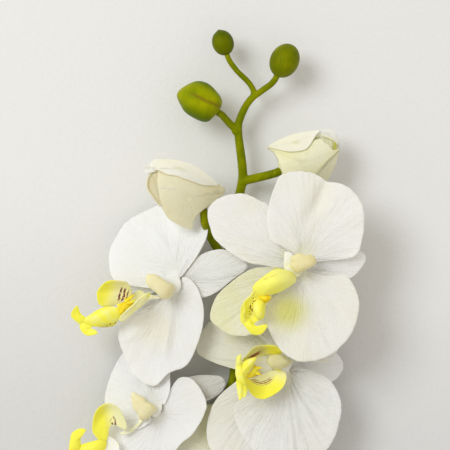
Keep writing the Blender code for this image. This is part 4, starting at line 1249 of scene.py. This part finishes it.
columns = {
    "bloom_a": {"peak": (1, 1.3, 13), "neck": 3.0, "rim": [
        (-5, 1, 9), (-5, 3.5, 10), (-1, 5.5, 11), (2, 4.5, 11), (3.5, 5, 11), (5.5, 4.5, 10.5),
        (7, 2.5, 10), (6.5, 0, 9), (2, -2.5, 8), (-2, -4, 7.5), (-5, -1.5, 8.5)]},
    "bloom_b": {"peak": (-8.7, 0.4, 15.5), "rim": [
        (-14, 5, 13.5), (-11.5, 5.5, 13.5), (-9, 5, 12.5), (-5, 2.5, 11.5), (-2.5, 1, 9.5),
        (-0.5, -1.5, 6.5), (-2.5, -6, 5.5), (-5, -7, 6.5), (-7, -6.5, 8.5), (-8.5, -4.5, 10.5),
        (-14, 0.5, 13.5)]},
    "bloom_c": {"peak": (-5.6, 3.4, 16.5), "rim": [
        (-9, 3.5, 14), (-8, 5.5, 14), (-6.5, 6.5, 14), (-2, 6.5, 11.5), (0.5, 5, 9), (3, 2.5, 6),
        (2, 1, 5), (-3, -1, 8), (-7.5, 0.5, 13)]},
    "bloom_d": {"peak": (-6.8, 3.2, 13), "rim": [
        (-12, 9, 11.5), (-8, 7.5, 11), (-6, 6.5, 10.5), (-4.5, 4.5, 9.5), (-1.5, 3, 7.5), (0, 0.5, 5.5),
        (-2, -2, 4.5), (-5, -4.5, 5), (-8, -4.5, 6), (-9.5, -1, 8.5), (-11.5, 2, 10.5)]},
}

# how far the underside of a lump lies under its rim
lumpDepths = {"ball": 2.0, "callus": 1.5}
toothForm = {"root": 1.2, "tip": 0.15}
teeth = {
    "bloom_b": [[(-24.1, -7.9, 7.5), (-21.9, -6.1, 8.5), (-19.9, -4.5, 8.5)],
                [(-23.4, -9.0, 7.5), (-21.1, -8.0, 8.5), (-19.1, -7.0, 8.5)]],
    "bloom_c": [[(-15.0, 0.1, 14.0), (-12.9, 0.1, 15.0), (-11.3, 0.1, 15.0)],
                [(-15.0, -1.9, 14.0), (-13.1, -2.7, 15.0), (-11.3, -3.4, 15.0)]],
}
# the column of bloom_c is a darker copy of the cream, painted shade
columnTones = {"bloom_a": {"cream": (0.84, 0.77, 0.42), "deep": (0.76, 0.66, 0.30)},
               "bloom_c": {"cream": (0.72, 0.68, 0.36), "deep": (0.66, 0.60, 0.28)}}
columnShared = {
    "cream": (0.87, 0.81, 0.50), "deep": (0.82, 0.73, 0.40), "deepOver": (0.35, 0.75), "deepShare": 0.7,
    "roughness": 0.5, "gloss": 0.3, "glow": 0.25, "glowReach": 0.002, "glowColour": (1.0, 0.9, 0.5),
    "cloudScale": 260.0, "grainScale": 600.0, "grainDepth": 0.0003, "grainStrength": 0.5}
columnForm = {"dome": 3.0, "depth": 1.2, "neck": 4.5, "neckTop": 2.8, "neckSteps": 12, "foot": 0.8,
              "bendAside": 0.35, "bendUp": 0.5, "topAside": 0.8, "topUp": 0.6}


def columnFinish(name, look):
    look = {**columnShared, **look}
    cream = softFinish(name, look)
    place = cream.coords()
    share = cream.cloud(place, look["cloudScale"]).between(*look["deepOver"]) * look["deepShare"]
    cream.colour(cream.tint(share, look["cream"], look["deep"]))
    grain = cream.cloud(place, look["grainScale"], detail=2.0)
    cream.relief(grain, look["grainDepth"], look["grainStrength"])
    return cream.material


def makeColumn(bloomName, bloom, look, finish):
    # a bulbous cap on a short neck that rises from the hub
    look = {**columnForm, **look}
    name = bloomName + "Knob"
    x, y = look["peak"][:2]
    low = min(point[2] for point in look["rim"])
    cap = makeLump(name, look, finish)
    line = [(0, 0, look["foot"]), (x * look["bendAside"], y * look["bendAside"], low * look["bendUp"]),
            (x * look["topAside"], y * look["topAside"], low + look["topUp"])]
    path = evenPath(curvePath(line, curveSteps["line"]), look["neckSteps"])
    neck = curveBar(name + "Neck", path, taper(look["neck"], look["neckTop"], len(path)))
    knob = joinAll(name, [cap, paint(neck, clothFinishes["white"])])
    knob.data.transform(Matrix.Translation(Vector(bloom["hub"])))
    finishPiece(knob, "column_cream", bloomName + "_column", angle=80)


def makeLip(bloomName, bloom, shapes, toothPaths):
    # domed sheets, lumps and small teeth, moulded in one
    name = bloomName + "Lip"
    pieces = []
    for index, (part, look) in enumerate(shapes.items()):
        finish = lipFinishes[look["finish"]]
        if part in lumpDepths:
            pieces.append(makeLump(name + part.title(), {**look, "depth": lumpDepths[part]}, finish))
        else:
            pieces.append(makeDomed(name + part.title(), look, finish, thickness["lip"], index))
    for points in toothPaths:
        path = curvePath(points, curveSteps["bar"])
        tooth = curveBar(name + "Tooth", path, taper(toothForm["root"], toothForm["tip"], len(path)))
        pieces.append(paint(tooth, lipFinishes["orange"]))
    lip = joinAll(name, pieces)
    lip.data.transform(Matrix.Translation(Vector(bloom["hub"])))
    finishPiece(lip, "lip_yellow", bloomName + "_lip")


for bloomName, bloom in blooms.items():
    matrix = flowerFrame(bloom)
    for layerName, height in layerHeight.items():
        layer = makeLayer(bloomName + layerName.title(), bloom[layerName])
        layer.data.transform(matrix @ Matrix.Translation((0, 0, height)))
        finishPiece(layer, "white_cloth", bloomName + "_" + layerName)
    # the lowest bloom, past the edge of the photograph, repeats the lip and column of another
    source = "bloom_b" if bloomName == "bloom_e" else bloomName
    makeColumn(bloomName, bloom, columns[source],
               columnFinish(bloomName + "Column", columnTones.get(bloomName, {})))
    makeLip(bloomName, bloom, lips[source], teeth.get(source, []))
    print(bloomName, "made")
